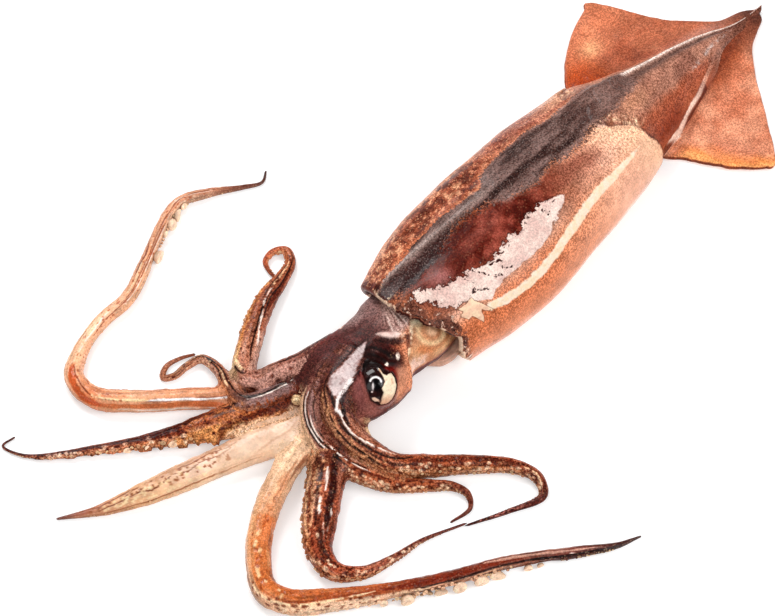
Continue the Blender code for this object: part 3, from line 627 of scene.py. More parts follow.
def mantle_section(x, a, inset=0.0, lip=0.0):
    """Points of the mantle at x and angle a (radians): flat below, round above, leaning to +Y."""
    half = curve(HALF_WIDTH, x) - inset
    top = curve(HEIGHT, x) - inset
    lean = curve(RIDGE_SHIFT, x)
    low = inset * 0.7
    cone = np.clip((x - 128) / 34, 0, 1)
    ca, sa = np.cos(a), np.sin(a)
    power = 2.25 - 0.75 * cone * (sa > 0)
    blunt = 1 / (np.abs(ca) ** power + np.abs(sa) ** power) ** (1 / power)
    z = np.maximum(low + (top - low) * (0.42 + np.where(sa > 0, 0.58, 0.52) * sa * blunt), low)
    rise = z / np.maximum(top, 0.1)
    y = AXIS_Y + curve(BOW, x) + half * ca * blunt + lean * (rise - 0.42)
    fade = np.exp(-np.maximum(0, x - COLLAR_X) / 20)
    torn = RIM_NOTCH * np.exp(-((a - 2.44) / 0.56) ** 2) + 1.3 * np.exp(-((a - 0.9) / 0.5) ** 2)
    return np.stack([x + (torn - RIM_SKEW * (rise - 0.5) * 2 - RIM_TURN * ca) * fade + lip, y, z], axis=-1)


def build_mantle():
    cols = 232
    a = 2 * np.pi * (np.arange(cols) + 0.5) / cols
    deg = np.degrees(a)
    jag = (noise(np.stack([deg * 0.6, deg * 0, deg * 0], 1), 3.2, 5, 3) * 1.5
           + noise(np.stack([deg * 0.6, deg * 0, deg * 0], 1), 1.4, 8, 1) * 0.7) * step(60, 84, deg) * step(196, 176, deg)
    rough = noise(np.stack([np.cos(a) * 30, np.sin(a) * 30, a * 0], 1), 4.0, 3, 2)
    xs = np.concatenate([np.linspace(COLLAR_X, COLLAR_X + 12, 17), np.linspace(COLLAR_X + 12, TAIL_X, 236)[1:]])
    X, A = np.meshgrid(xs, a, indexing="ij")
    X, A = X.ravel(), A.ravel()
    D = np.degrees(A)
    base = mantle_section(X, A)
    nrm = normals(base, len(xs), cols)
    W = D * 0.58
    near = np.exp(-np.maximum(0, X - COLLAR_X) / 5)
    # form
    out = noise(base, 16, 11, 2) * 0.45 + noise(base * (0.35, 1, 1), 5.0, 12, 2) * 0.28 + noise(base, 2.0, 13, 2) * 0.12
    upper = step(0.15, 0.5, base[:, 2] / np.maximum(curve(HEIGHT, X), 1))
    out *= 0.4 + 0.6 * upper
    light = curve(RIDGE_LIGHT, X)
    out += 1.0 * bump(D, light, 5.0) * step(-8, 0, X) * step(58, 48, X)
    out -= 0.45 * bump(D, light + 15, 9.0) * step(-8, 2, X) * step(52, 40, X)
    out += 0.7 * bump(D, 82, 14) * step(50, 60, X) * step(80, 66, X)
    out += 1.3 * np.exp(-(((X - 8.5) / 6.5) ** 2 + ((D - 101) / 10.5) ** 2))
    out -= 0.4 * np.exp(-(((X - 9) / 9) ** 2 + ((D - 86) / 5) ** 2))
    out -= 0.5 * np.exp(-(((X - 38) / 24) ** 2 + ((D - 106) / 12) ** 2))
    out += 0.35 * step(0, 1.5, inside(around(PATCH), X, W) + noise(base, 2.2, 21, 2) * 1.3)
    for shard in SHARDS:
        out += 0.8 * step(-0.3, 0.9, inside(around(shard), X, W) + noise(base, 1.5, 22, 1) * 0.3)
    out += 0.3 * step(3.0, 1.0, side_of(around(STRIPE), X, W))
    for line in CREASES:
        out -= 0.75 * bump(side_of(around(line), X, W) + noise(base, 3, 23) * 0.3, 0, 1.0)
        out += 0.4 * bump(side_of(around(line), X, W), 2.4, 1.4)
    for line in CRACKS:
        out -= 0.35 * bump(side_of(around(line), X, W), 0, 0.6)
    # the barrel ends in a lobe over the cone, on both sides
    mirror = np.where((D < 60) | (D > 330), 158 - np.where(D > 330, D - 360, D), D)
    lobe = curve(LOBE, np.clip(mirror, 60, 230)) + noise(base, 5, 24, 2) * 0.7
    on = step(84, 112, mirror) * step(248, 205, D)
    ahead = lobe - X
    out += on * np.where(ahead > 0, 0.75 * np.exp(-ahead / 13), -0.55 * np.exp(ahead / 7))
    # cone: keel on the far side, hollow and fold on the near side
    keel = step(126, 140, X) * step(243, 232, X)
    out += keel * 0.8 * bump(D, 70, 6) * step(236, 205, X)
    out -= keel * 0.5 * bump(D, 86, 8)
    out += keel * 0.6 * bump(D, 134, 9) * bump(X, 198, 22)
    out -= keel * 0.8 * bump(D, 158, 12) * bump(X, 172, 18)
    # ragged rim
    ragged = near * (jag[None, :].repeat(len(xs), 0).ravel())
    out += near * rough[None, :].repeat(len(xs), 0).ravel() * 0.7 * step(40, 70, D) * step(215, 190, D)
    out = np.minimum(out, 1.9)
    taper = step(TAIL_X + 1, TAIL_X - 18, X)
    pts = base + nrm * (out * (0.2 + 0.8 * taper))[:, None]
    pts[:, 0] -= ragged * 0.9
    # the flap of the collar on the left, folded out
    flap = np.exp(-((D - 168) / 10.5) ** 2) * near
    pts += flap[:, None] * np.array((-2.6, -2.2, 0.6))
    notch = np.exp(-((D - 150) / 4.5) ** 2) * near
    pts += notch[:, None] * np.array((2.4, 0.8, -0.4))
    pts[:, 2] = np.clip(pts[:, 2], 0.03, None)
    # tail tip turns up in a small hook
    tip = step(232, 245, X)
    pts[:, 2] += tip * 0.5

    # ---------------- colours
    def rgb(*c):
        return linear(*c)[None, :].repeat(len(X), 0)

    n1, n2, n3 = noise(base, 9, 31, 3), noise(base * (0.3, 1, 1), 3.2, 32, 2), noise(base, 24, 33, 2)
    L = curve(BAND_LEFT, X) + n2 * 3
    R = curve(BAND_RIGHT, X) + n2 * 4
    col = rgb(216, 146, 112)                                            # side
    col = mix(col, rgb(202, 116, 74), step(78, 40, X) * step(196, 150, D) * 0.75)
    col = mix(col, rgb(243, 186, 158), step(72, 108, X) * step(118, 150, D) * 0.9)
    col = mix(col, rgb(240, 184, 166), step(176, 200, D) * 0.9)          # pink lower edge
    col = mix(col, rgb(232, 180, 158), step(205, 235, D))                # belly
    right = step(66, 50, D) + step(330, 345, D)
    col = mix(col, rgb(206, 136, 102), np.clip(right, 0, 1))
    col = mix(col, rgb(232, 180, 158), step(20, -10, np.where(D > 270, D - 360, D)) * (D < 90) + step(300, 330, D))
    # between the ridge and the stripe
    middle = step(146, 126, D + n1 * 4) * step(R - 4, R + 6, D)
    tan = mix(rgb(160, 98, 72), rgb(228, 176, 152), step(66, 108, X + n1 * 10))
    tan = mix(tan, rgb(214, 168, 146), step(121, 131, D) * step(86, 56, X))
    tan = mix(tan, rgb(146, 84, 66), bump(D, R + 9, 10) * step(66, 80, X) * step(118, 96, X) * 0.8)
    col = mix(col, tan, middle)
    maroon = step(R - 4, R + 4, D) * step(130, 110, D + n1 * 7 + step(55, 100, X) * 12) * step(104, 66, X + n1 * 8) * step(-4, 8, X)
    blot = noise(base, 7, 39, 2) + 0.6 * noise(base, 2.6, 42, 2)
    wine = mix(rgb(80, 20, 10), rgb(150, 74, 60), step(-0.25, 0.7, blot))
    wine = mix(wine, rgb(176, 104, 90), np.exp(-(((X - 34) / 13) ** 2 + ((D - 97) / 6) ** 2)) * 0.55)
    col = mix(col, mix(wine, rgb(126, 66, 48), step(56, 88, X)), maroon)
    lump = np.exp(-(((X - 8) / 8) ** 2 + ((D - 101) / 12) ** 2) ** 1.5)
    col = mix(col, rgb(122, 62, 54), lump * 0.9)
    # painted highlight on top of the lump
    col = mix(col, rgb(190, 130, 126), np.exp(-(((X - 11) / 5) ** 2 + ((D - 101) / 6) ** 2)) * 0.8)
    # left margin: red-brown with gold flecks
    margin = step(L + 2, L - 5, D) * step(24, 40, D) * step(136, 116, X)
    mottle = noise(base, 2.2, 40, 2) + 0.5 * noise(base, 5.5, 43, 1)
    blotched = mix(rgb(104, 46, 28), rgb(160, 88, 62), step(-0.45, 0.05, mottle))
    blotched = mix(blotched, rgb(226, 168, 132), step(0.2, 0.42, mottle) * (0.15 + 0.7 * step(84, 50, X)))
    blotched = mix(blotched, mix(rgb(140, 74, 62), rgb(186, 126, 108), step(-0.3, 0.4, n2)), step(56, 100, X) * 0.75)
    col = mix(col, blotched, margin)
    col = mix(col, rgb(226, 184, 150), bump(D, 34, 3.5) * step(-2, 6, X) * step(120, 100, X) * 0.5)
    # charcoal band: where it lies, its own colours, painted highlights along the ridge and its left edge, and painted
    # shadow beside the lump
    inner = step(L - 3, L + 3, D) * step(R + 8, R - 8, D)
    band = inner * step(160, 146, X) + np.exp(-(((X - 9) / 12) ** 2 + ((D - 84) / 5) ** 2)) * 0.9
    streaky = noise(base * (0.14, 1, 1), 2.4, 38, 2)
    dark = mix(rgb(58, 36, 32), rgb(118, 92, 86), step(-0.35, 0.45, streaky + n2 * 0.4))
    dark = mix(dark, rgb(40, 18, 16), step(0.1, 0.5, -streaky) * 0.6)
    dark = mix(dark, rgb(58, 30, 28), step(2, 9, D - light) * step(56, 46, X) * 0.9)
    dark = mix(dark, rgb(128, 92, 80), step(R - 8, R + 8, D) * step(60, 80, X) * 0.7)
    dark = mix(dark, rgb(134, 100, 90), step(100, 132, X) * 0.6)
    # painted highlights: a pale line along the ridge and a fainter one along the band's left edge
    lit = bump(D, light, 3.6) * step(-7, -2, X) * step(60, 50, X)
    dark = mix(dark, rgb(172, 152, 144), np.clip(lit, 0, 1) * (0.6 + 0.3 * step(30, 5, X)))
    lit2 = bump(D, curve(BAND_LEFT, X) + 1.5, 2.6) * step(62, 84, X) * step(140, 126, X)
    dark = mix(dark, rgb(190, 150, 138), np.clip(lit2, 0, 1) * 0.5)
    # painted shadow beside the lump, towards the ridge and the rim
    shade = np.exp(-(((X - 10) / 11) ** 2 + ((D - 86) / 5.5) ** 2))
    dark = mix(dark, rgb(44, 18, 18), np.clip(shade * 1.2, 0, 0.92))
    dark = mix(dark, rgb(40, 16, 16), np.exp(-(((X - 1) / 4) ** 2 + ((D - 88) / 9) ** 2)) * 0.9)
    # shoulder
    col = mix(col, rgb(247, 200, 166), step(26, 2, ahead) * (ahead > -1) * on * 0.75)
    # cone
    behind = step(-0.6, 0.5, -ahead) * np.clip(on + step(112, 84, mirror) * (mirror >= 60), 0, 1)
    behind = np.clip(behind * step(112, 122, X) + step(146, 152, X), 0, 1)
    cone = mix(rgb(176, 126, 106), rgb(148, 100, 84), step(-0.2, 0.5, n1))
    cone = mix(cone, rgb(170, 86, 56), step(124, 142, D + n1 * 6) * step(206, 186, X) * 0.75)
    cone = mix(cone, rgb(136, 56, 32), bump(D, 166, 16) * step(138, 144, X) * step(172, 156, X) * 0.75)
    cone = mix(cone, rgb(196, 140, 110), bump(D, 112, 13) * bump(X, 143, 13) * 0.7)
    cone = mix(cone, rgb(106, 78, 70), bump(D, 84, 9) * step(246, 236, X) * 0.9)
    cone = mix(cone, rgb(112, 68, 54), step(206, 226, X) * 0.85)
    cone = mix(cone, rgb(200, 132, 104), step(60, 48, D) * (D < 180))
    dusk = step(124, 130, X) * step(156, 146, X) * step(100, 90, D) * step(62, 68, D)
    cone = mix(cone, rgb(86, 66, 64), dusk)
    col = mix(col, cone, behind)
    # painted highlight along the keel
    keel_highlight = 1.15 * bump(D, 70.5, 5) * step(126, 136, X) * step(249, 243, X)
    col = mix(col, rgb(240, 222, 212), np.clip(keel_highlight, 0, 1) * 0.95)
    seam = bump(ahead + 0.9, 0, 0.8) * on
    col = mix(col, rgb(84, 40, 30), np.clip(seam, 0, 1) * 0.8)
    crumbs = noise(base, 1.7, 44, 2)
    crumbly = bump(ahead, -3.5, 4.0) * on * step(140, 128, mirror)
    col = mix(col, rgb(240, 206, 172), crumbly * step(0.05, 0.35, crumbs))
    col = mix(col, rgb(126, 74, 52), crumbly * step(0.05, 0.4, -crumbs) * 0.8)
    # painted shade in each crease and a painted highlight on the ridge beside it
    for line in CREASES:
        col = mix(col, rgb(44, 26, 26), bump(side_of(around(line), X, W), 0, 0.8) * 0.85)
        col = mix(col, rgb(176, 150, 144), bump(side_of(around(line), X, W), 2.0, 0.9) * 0.5 * (D < 110))
    root = side_of(ROOT_FOLD, base[:, 0], base[:, 1]) + (base[:, 2] > 12) * 20
    # painted shade in the valley by the fin root, and a painted highlight on the fold
    col = mix(col, rgb(98, 40, 28), step(6, 1.5, root) * (X < 185) * 0.8)
    col = mix(col, rgb(240, 206, 188), step(1.2, 0.4, root) * (D > 140) * step(206, 170, X))
    # painted glint streak on the cone
    cone_glint = bump(D, 136 - (X - 180) * 0.8, 5.5) * step(178, 188, X) * step(226, 214, X)
    col = mix(col, rgb(196, 176, 170), np.clip(cone_glint, 0, 1) * step(-0.25, 0.25, noise(base, 1.6, 36, 2)) * 0.9)
    col = mix(col, rgb(246, 226, 218), bump(D, 195, 4.5) * step(46, 70, X) * step(128, 118, X) * 0.75)
    shard_in = np.max([inside(around(s), X, W) for s in SHARDS], axis=0)
    # inner side of the flap and rim
    edge = step(3.2, 0.8, X - COLLAR_X)
    bits = noise(base, 1.8, 37, 2)
    col = mix(col, rgb(248, 222, 200), edge * step(146, 152, D) * step(196, 188, D) * step(-0.1, 0.3, bits))
    col = mix(col, rgb(120, 64, 46), edge * step(146, 152, D) * step(196, 188, D) * step(0.0, 0.35, -bits))
    col = mix(col, rgb(92, 34, 26), step(3.2, 1.2, X - COLLAR_X) * step(70, 62, D) * step(26, 34, D) * 0.8)
    col = mix(col, rgb(246, 222, 192), step(4.5, 2.0, X - COLLAR_X) * step(82, 77, D) * step(54, 62, D) * step(-0.25, 0.15, bits))
    col = mix(col, rgb(60, 26, 22), step(4.5, 2.0, X - COLLAR_X) * step(82, 77, D) * step(54, 62, D) * step(0.2, 0.45, -bits))
    spk = np.full(len(X), 0.75)
    spk -= 0.45 * step(150, 176, D) * (D < 260)
    spk *= 1 - 0.5 * step(72, 104, X) * step(132, 146, D) * step(136, 130, X)
    spk -= 0.3 * maroon
    spk = np.where(D > 225, 0.25, spk)
    gold = margin * 1.0 + 0.5 * step(118, 132, X) * step(152, 140, X) * step(98, 108, D) * step(150, 130, D)
    gold += 0.35 * step(R, R + 8, D) * step(150, 130, D) * step(60, 110, X) * (X < 136) + 0.18 * maroon
    patch = inside(around(PATCH), X, W)
    torn = step(140, 122, D) * step(80, 60, X)
    stripe = 2.3 * step(128, 116, X) * (0.55 + 0.45 * step(118, 96, X)) - side_of(around(STRIPE), X, W)
    crack = 0.45 - np.min([side_of(around(c), X, W) for c in CRACKS], axis=0)
    rim = (2.7 + 3.8 * bump(D, 129, 9) + 1.2 * bump(D, 100, 7) - (X - COLLAR_X)) * step(80, 90, D) * step(176, 160, D) - 3 * (step(90, 80, D) + step(160, 176, D))
    wet = 0.3 + 0.4 * lit + 0.4 * step(0, 2, patch)

    # ---------------- rim and inner wall
    rings, inner_cols = [], []
    for depth, inset, lip in ((0.0, WALL * 0.2, -0.5), (0.0, WALL * 0.55, -0.75), (0.2, WALL * 0.85, -0.2), (1.2, WALL, 0.0),
                              (4.0, WALL, 0.0), (9.0, WALL, 0.0), (RECESS - 1, WALL, 0.0)):
        ring = mantle_section(np.full(cols, COLLAR_X + depth), a, inset, lip)
        hold = np.exp(-depth / 5)
        ring[:, 0] -= jag * 0.9 * hold
        ring += (np.exp(-((deg - 168) / 10.5) ** 2) * hold)[:, None] * np.array((-2.6, -2.2, 0.6))
        ring += (np.exp(-((deg - 150) / 4.5) ** 2) * hold)[:, None] * np.array((2.4, 0.8, -0.4))
        if depth > RECESS - 2:
            ring[:, 0] = COLLAR_X + RECESS
        ring[:, 2] = np.clip(ring[:, 2], 0.05, None)
        rings.append(ring)
        ragged_in = noise(np.stack([deg * 0.6, deg * 0 + depth, deg * 0], 1), 2.4, 45, 2)
        lip_col = np.tile(linear(244, 214, 188), (cols, 1))
        lip_col = mix(lip_col, np.tile(linear(74, 26, 20), (cols, 1)), step(80, 86, deg) * step(150, 142, deg) * step(0.35, 0.1, ragged_in))
        lip_col = mix(lip_col, np.tile(linear(104, 44, 34), (cols, 1)), step(64, 58, deg) * 0.85)
        # the wall deeper in is painted darker, as shade
        wall_col = np.tile(linear(120, 62, 46), (cols, 1)) * (1.0 if depth < 6 else 0.45)
        inner_cols.append(lip_col if depth < 2 else wall_col)
    inner = np.vstack(rings[::-1])
    rows = len(rings)
    points = np.vstack([inner, pts, [[COLLAR_X + RECESS, AXIS_Y, 18.0]], [[TAIL_X + 1.2, AXIS_Y - 0.3, 3.6]]])
    total = rows + len(xs)
    faces = grid_faces(total, cols)
    last = (total - 1) * cols + np.arange(cols)
    tris = np.vstack([fan(np.arange(cols)[::-1], total * cols), fan(last, total * cols + 1)])
    pad = rows * cols

    def whole(v, lead, tail):
        lead = np.full(pad, lead) if np.isscalar(lead) else lead
        return np.concatenate([lead, v, [tail, tail]])

    colours = np.vstack([np.vstack(inner_cols[::-1]), col, [linear(120, 70, 60)] * 2])
    shadow = np.vstack([np.tile(linear(60, 30, 28), (pad, 1)), dark, [linear(60, 30, 28)] * 2])
    attrs = {"Dark": shadow, "band": whole(band, 0.0, 0.0), "shard": whole(shard_in, -9.0, -9.0), "Col": colours, "spk": whole(spk, 0.2, 0.3), "gold": whole(gold, 0.0, 0.0), "wet": whole(wet, 0.4, 0.3),
             "patch": whole(patch, -9.0, -9.0), "torn": whole(torn, 0.0, 0.0), "stripe": whole(stripe, -9.0, -9.0),
             "crack": whole(crack, -9.0, -9.0), "rim": whole(rim, -9.0, -9.0)}
    return make_mesh("mantle_body", points, [faces[:, ::-1], tris[:, ::-1]], attrs, MANTLE_SKIN)


def build_fin(name, spec, near_side):
    side, reach = spec["side"], spec["reach"]
    steps, top_n, low_n = 84, 170, 70
    k = np.linspace(0, 1, steps)
    d = reach * (1 - (1 - k) ** 1.15)
    x0, x1 = curve(spec["lead"], d), curve(spec["trail"], d)
    cut = np.where(d > reach - 3, 3 - np.sqrt(np.clip(9 - (d - reach + 3) ** 2, 0, 9)), 0)
    along = np.stack([d, d * 0, d * 0], 1)
    ragged = step(18, 26, d)
    x0 = x0 + cut + (noise(along, 5, 41 + side, 3) * 0.9 + noise(along, 1.6, 43, 1) * 0.35) * ragged * (1.0 if near_side else 0.6)
    x1 = x1 - cut + noise(along, 7, 45 + side, 3) * 0.6 * ragged
    thin = x1 - x0 < 2
    mid = (x0 + x1) / 2
    x0, x1 = np.where(thin, mid - 1, x0), np.where(thin, mid + 1, x1)
    thick = FIN_THICK * (1 + 1.4 * np.clip(1 - d / 26, 0, None)) * (0.55 + 0.45 * np.minimum(1, (reach - d) / 12 + 0.2))
    wave = 0.5 + 0.5 * np.sin(d * 0.11 + (0.4 if side > 0 else 1.4))
    low = 0.25 + 0.9 * wave * np.clip((d - 24) / 20, 0, 1)
    ut = 0.5 - 0.5 * np.cos(np.linspace(0, np.pi, top_n))
    ut = ut * 0.45 + np.linspace(0, 1, top_n) * 0.55
    ub = np.linspace(1, 0, low_n + 2)[1:-1]
    u = np.concatenate([ut, ub])
    is_top = np.concatenate([np.ones(top_n), np.zeros(low_n)])
    U, K = np.meshgrid(u, np.arange(steps))
    U, K = U.ravel(), K.ravel()
    TOP = np.tile(is_top, steps)
    x = x0[K] + (x1 - x0)[K] * U
    y = AXIS_Y + side * d[K]
    edge = np.minimum((x - x0[K]), (x1[K] - x))
    roll = np.sqrt(np.clip(1 - (1 - np.clip(edge / 1.6, 0, 1)) ** 2, 0, 1))
    body = curve(HALF_WIDTH, np.clip(x, -9, 245))
    away = d[K] - body
    fillet = np.where(away > 0, 2.4 * np.exp(-away / 4.5), 2.4) * step(0, 8, edge)
    swell = 1 + 0.2 * np.sin(np.pi * np.clip(U, 0, 1))
    z = low[K] + thick[K] * (0.5 + np.where(TOP > 0, 0.5, -0.5) * roll) * np.where(TOP > 0, swell, 1)
    q = np.stack([x, y, z * 0], 1)
    ripple = (noise(q * (1.0, 0.35, 1), 9, 51 + side, 2) * 0.7 + noise(q * (0.45, 1, 1), 4, 52, 2) * 0.32 + noise(q, 1.8, 53, 2) * 0.14)
    z += np.where(TOP > 0, 1, 0.6) * ripple * roll * step(-2, 6, away) * 0.8 + np.where(TOP > 0, fillet, 0)
    root = side_of(ROOT_FOLD, x, y) if near_side else np.full(len(x), 99.0)
    z += np.where(TOP > 0, 1, 0) * (1.5 * bump(root, 0, 1.3) - 0.9 * bump(root, 2.8, 1.5)) * step(0, 5, edge) * (0.25 + 0.75 * step(182, 164, x))
    curl = step(5, 0, edge) * ragged[K] * 0.5
    z += curl * noise(np.stack([d[K], d[K] * 0, d[K] * 0], 1), 8, 47, 2)
    z *= 1 - 0.62 * step(203, 232, x) * step(22, 5, d[K])
    z = np.clip(z, 0.05, None)
    points = np.stack([x, y, z], 1)

    n1, n2 = noise(q, 14, 61 + side, 3), noise(q * (1, 0.3, 1), 6, 62, 2)
    rgb = lambda *c: linear(*c)[None, :].repeat(len(x), 0)
    if near_side:
        col = mix(rgb(210, 138, 108), rgb(196, 116, 84), step(-0.3, 0.5, n1))
        col = mix(col, rgb(236, 172, 140), step(-0.1, 0.6, -n1) * 0.6)
        lead = x - x0[K]
        col = mix(col, rgb(238, 150, 84), step(13, 2, lead + n2 * 4) * step(20, 34, d[K]) * 0.85)
        col = mix(col, rgb(244, 178, 116), step(5.0, 1.5, lead + n2 * 2.5) * step(24, 30, d[K]) * 0.7)
        col = mix(col, rgb(122, 52, 30), step(1.1, 0.3, lead) * step(18, 26, d[K]) * 0.85)
        # painted shade on the fin next to the body
        col = mix(col, rgb(150, 74, 44), step(9, 1, away) * step(176, 196, x) * 0.8)
        col = mix(col, rgb(104, 44, 28), step(3.2, 0.6, away + 1) * (x > 150) * 0.5)
        # painted highlight along the fin root fold
        wide = 0.75 + 0.55 * step(156, 172, x) + 2.6 * bump(x, 190, 9) + 0.6 * noise(q, 2.5, 63, 2)
        root_highlight = mix(rgb(252, 230, 214), rgb(216, 172, 156), step(168, 184, x) * 0.8)
        col = mix(col, root_highlight, step(wide, wide * 0.4, root) * step(196, 180, x) * (0.95 - 0.6 * step(160, 174, x)) * (1 - 0.6 * step(-0.1, 0.4, n2) * step(158, 168, x)))
    else:
        col = mix(rgb(188, 114, 84), rgb(160, 86, 60), step(-0.3, 0.5, n1))
        col = mix(col, rgb(226, 158, 124), step(0.0, 0.6, n2) * 0.5)
        col = mix(col, rgb(188, 80, 32), np.exp(-(((x - 152) / 12) ** 2 + ((y - 15) / 14) ** 2)) * 0.95)
        col = mix(col, rgb(218, 136, 100), step(34, 52, d[K] + n1 * 6) * 0.7)
        col = mix(col, rgb(236, 176, 132), np.exp(-(((x - 170) / 6) ** 2 + ((y - 25) / 5) ** 2)) * 0.85)
        col = mix(col, rgb(206, 142, 122), step(9, 1, away) * 0.7)
        for off in (6, 12, 19):
            col = mix(col, rgb(180, 100, 72), bump(away + n2 * 2, off, 1.3) * (x > 165) * 0.35)
    tail = step(210, 232, x)
    col = mix(col, rgb(140, 82, 62), tail * 0.8)
    col = mix(col, rgb(90, 52, 42), step(9, 2.5, d[K] - (x - 232) * 0.1) * step(228, 240, x) * 0.85)
    if not near_side:
        # painted highlight where the keel line reaches the tail
        ridge = bump(d[K], 2.6 - (x - 243) * 0.16, 0.7) * step(240, 244, x)
        col = mix(col, rgb(226, 206, 202), np.clip(ridge, 0, 1) * 0.9)
    col = mix(col, rgb(116, 54, 34), step(0.7, 0.15, edge) * step(14, 24, d[K]) * 0.7)
    col = np.where(TOP[:, None] > 0, col, mix(rgb(232, 170, 138), rgb(214, 146, 112), step(-0.4, 0.4, n1)))
    spk = np.where(TOP > 0, 0.7, 0.25)
    gold = np.where(TOP > 0, 0.12, 0.0)
    wet = np.full(len(x), 0.2) + 0.6 * bump(root, 0, 1.5)
    cols = len(u)
    n = steps * cols
    points = np.vstack([points, [points[:cols].mean(0)], [points[-cols:].mean(0)]])
    ends = np.vstack([fan(np.arange(cols)[::-1], n), fan((steps - 1) * cols + np.arange(cols), n + 1)])
    quads = grid_faces(steps, cols)
    if side > 0:
        quads, ends = quads[:, ::-1], ends[:, ::-1]
    add = lambda v: np.concatenate([v, [v[0], v[-1]]])
    attrs = {"Col": np.vstack([col, col[:1], col[-1:]]), "spk": add(spk), "gold": add(gold), "wet": add(wet)}
    return make_mesh(name, points, [quads, ends], attrs, FIN_SKIN)


# ------------------------------------------------------------------ head and eyes
# an eye's own directions: to the right, up and out, as seen by someone it looks at
GAZE = {"eye_left": np.array(((0.674, -0.738, 0.0), (0.626, 0.572, 0.530), (-0.391, -0.357, 0.848))),
        "eye_right": np.array(((1.0, 0.0, 0.0), (0.0, 0.1, 0.995), (0.0, 0.995, -0.1)))}
EYES = {"eye_left": np.array(LEFT_EYE), "eye_right": np.array(RIGHT_EYE)}
IRIS = [(0.07, 0.8), (0.18, 0.72), (0.32, 0.5), (0.48, 0.44), (0.7, 0.62), (0.98, 0.35), (1.0, 0), (0.9, -0.35), (0.78, -0.65), (0.5, -0.8),
        (0.26, -0.86), (0.13, -0.66), (0.26, -0.5), (0.34, -0.27), (0.25, -0.1), (0.4, 0.17), (0.31, 0.38), (0.17, 0.62)]
SEAM = [(-9, 98), (-11, 105), (-15, 117), (-18, 126), (-21, 136), (-23.5, 146), (-25.5, 158), (-27, 172), (-28, 186)]
BASE_SHINE = [(-32, -17), (-37, -20), (-42, -22), (-48, -24), (-53, -24.4), (-59, -26), (-59, -23), (-57.5, -18.5), (-54, -17.4),
              (-49, -17.5), (-44, -17.4), (-38.5, -17), (-33.5, -16.7)]
SHINE_LINE = [(-49, -24.2), (-54.5, -24.8), (-59, -25.8), (-62, -28), (-61.8, -30.8)]
PALE_WEB = [(-95.6, 5.3), (-90.8, 2.9), (-85.7, 0.1), (-80.9, -2.8), (-76.6, -6.3), (-73.1, -9.1), (-68.4, -8.6), (-64.8, -11), (-64, -16),
            (-70, -22), (-75, -28.7), (-82, -45), (-104, -45), (-128, -15), (-102, 2)]
WART = np.array((-66.6, -9.1, 15.6))
LIDS = [(-0.44, 0.52), (-0.4, 0.72), (-0.22, 0.82), (0.04, 0.72), (0.3, 0.5), (0.48, 0.42), (0.62, 0.46), (0.74, 0.28), (0.78, 0.02),
        (0.7, -0.25), (0.6, -0.46), (0.42, -0.62), (0.14, -0.7), (-0.12, -0.56), (-0.2, -0.25), (-0.3, 0.15)]
LEAF = [(-26.6, -17.2), (-24.4, -18.2), (-22.2, -20.2), (-20, -22.4), (-18.6, -25), (-20.5, -25.2), (-23.6, -23.2), (-25.6, -20.4)]


def eye_view(q, name):
    """Points as (right, up, out) of an eye, in eye radii."""
    return (q - EYES[name]) @ GAZE[name].T / EYE_RADIUS


def opening(view, name="eye_left"):
    """1 at the edge of the lids, less inside them."""
    if name == "eye_right":
        return np.hypot(view[:, 0] / 0.60, (view[:, 1] - 0.05) / 0.46)
    return 1 - inside(LIDS, view[:, 0], view[:, 1]) / 0.75


def head_section(x, a):
    y, half, top, low = (curve([(-h[0], h[k]) for h in HEAD], -x) for k in range(1, 5))
    mid, tall = (top + low) / 2, (top - low) / 2
    ca, sa = np.cos(a), np.sin(a)
    blunt = 1 / (np.abs(ca) ** 2.3 + np.abs(sa) ** 2.3) ** (1 / 2.3)
    return np.stack([x, y + half * ca * blunt, np.maximum(mid + tall * sa * blunt, 0)], axis=-1)


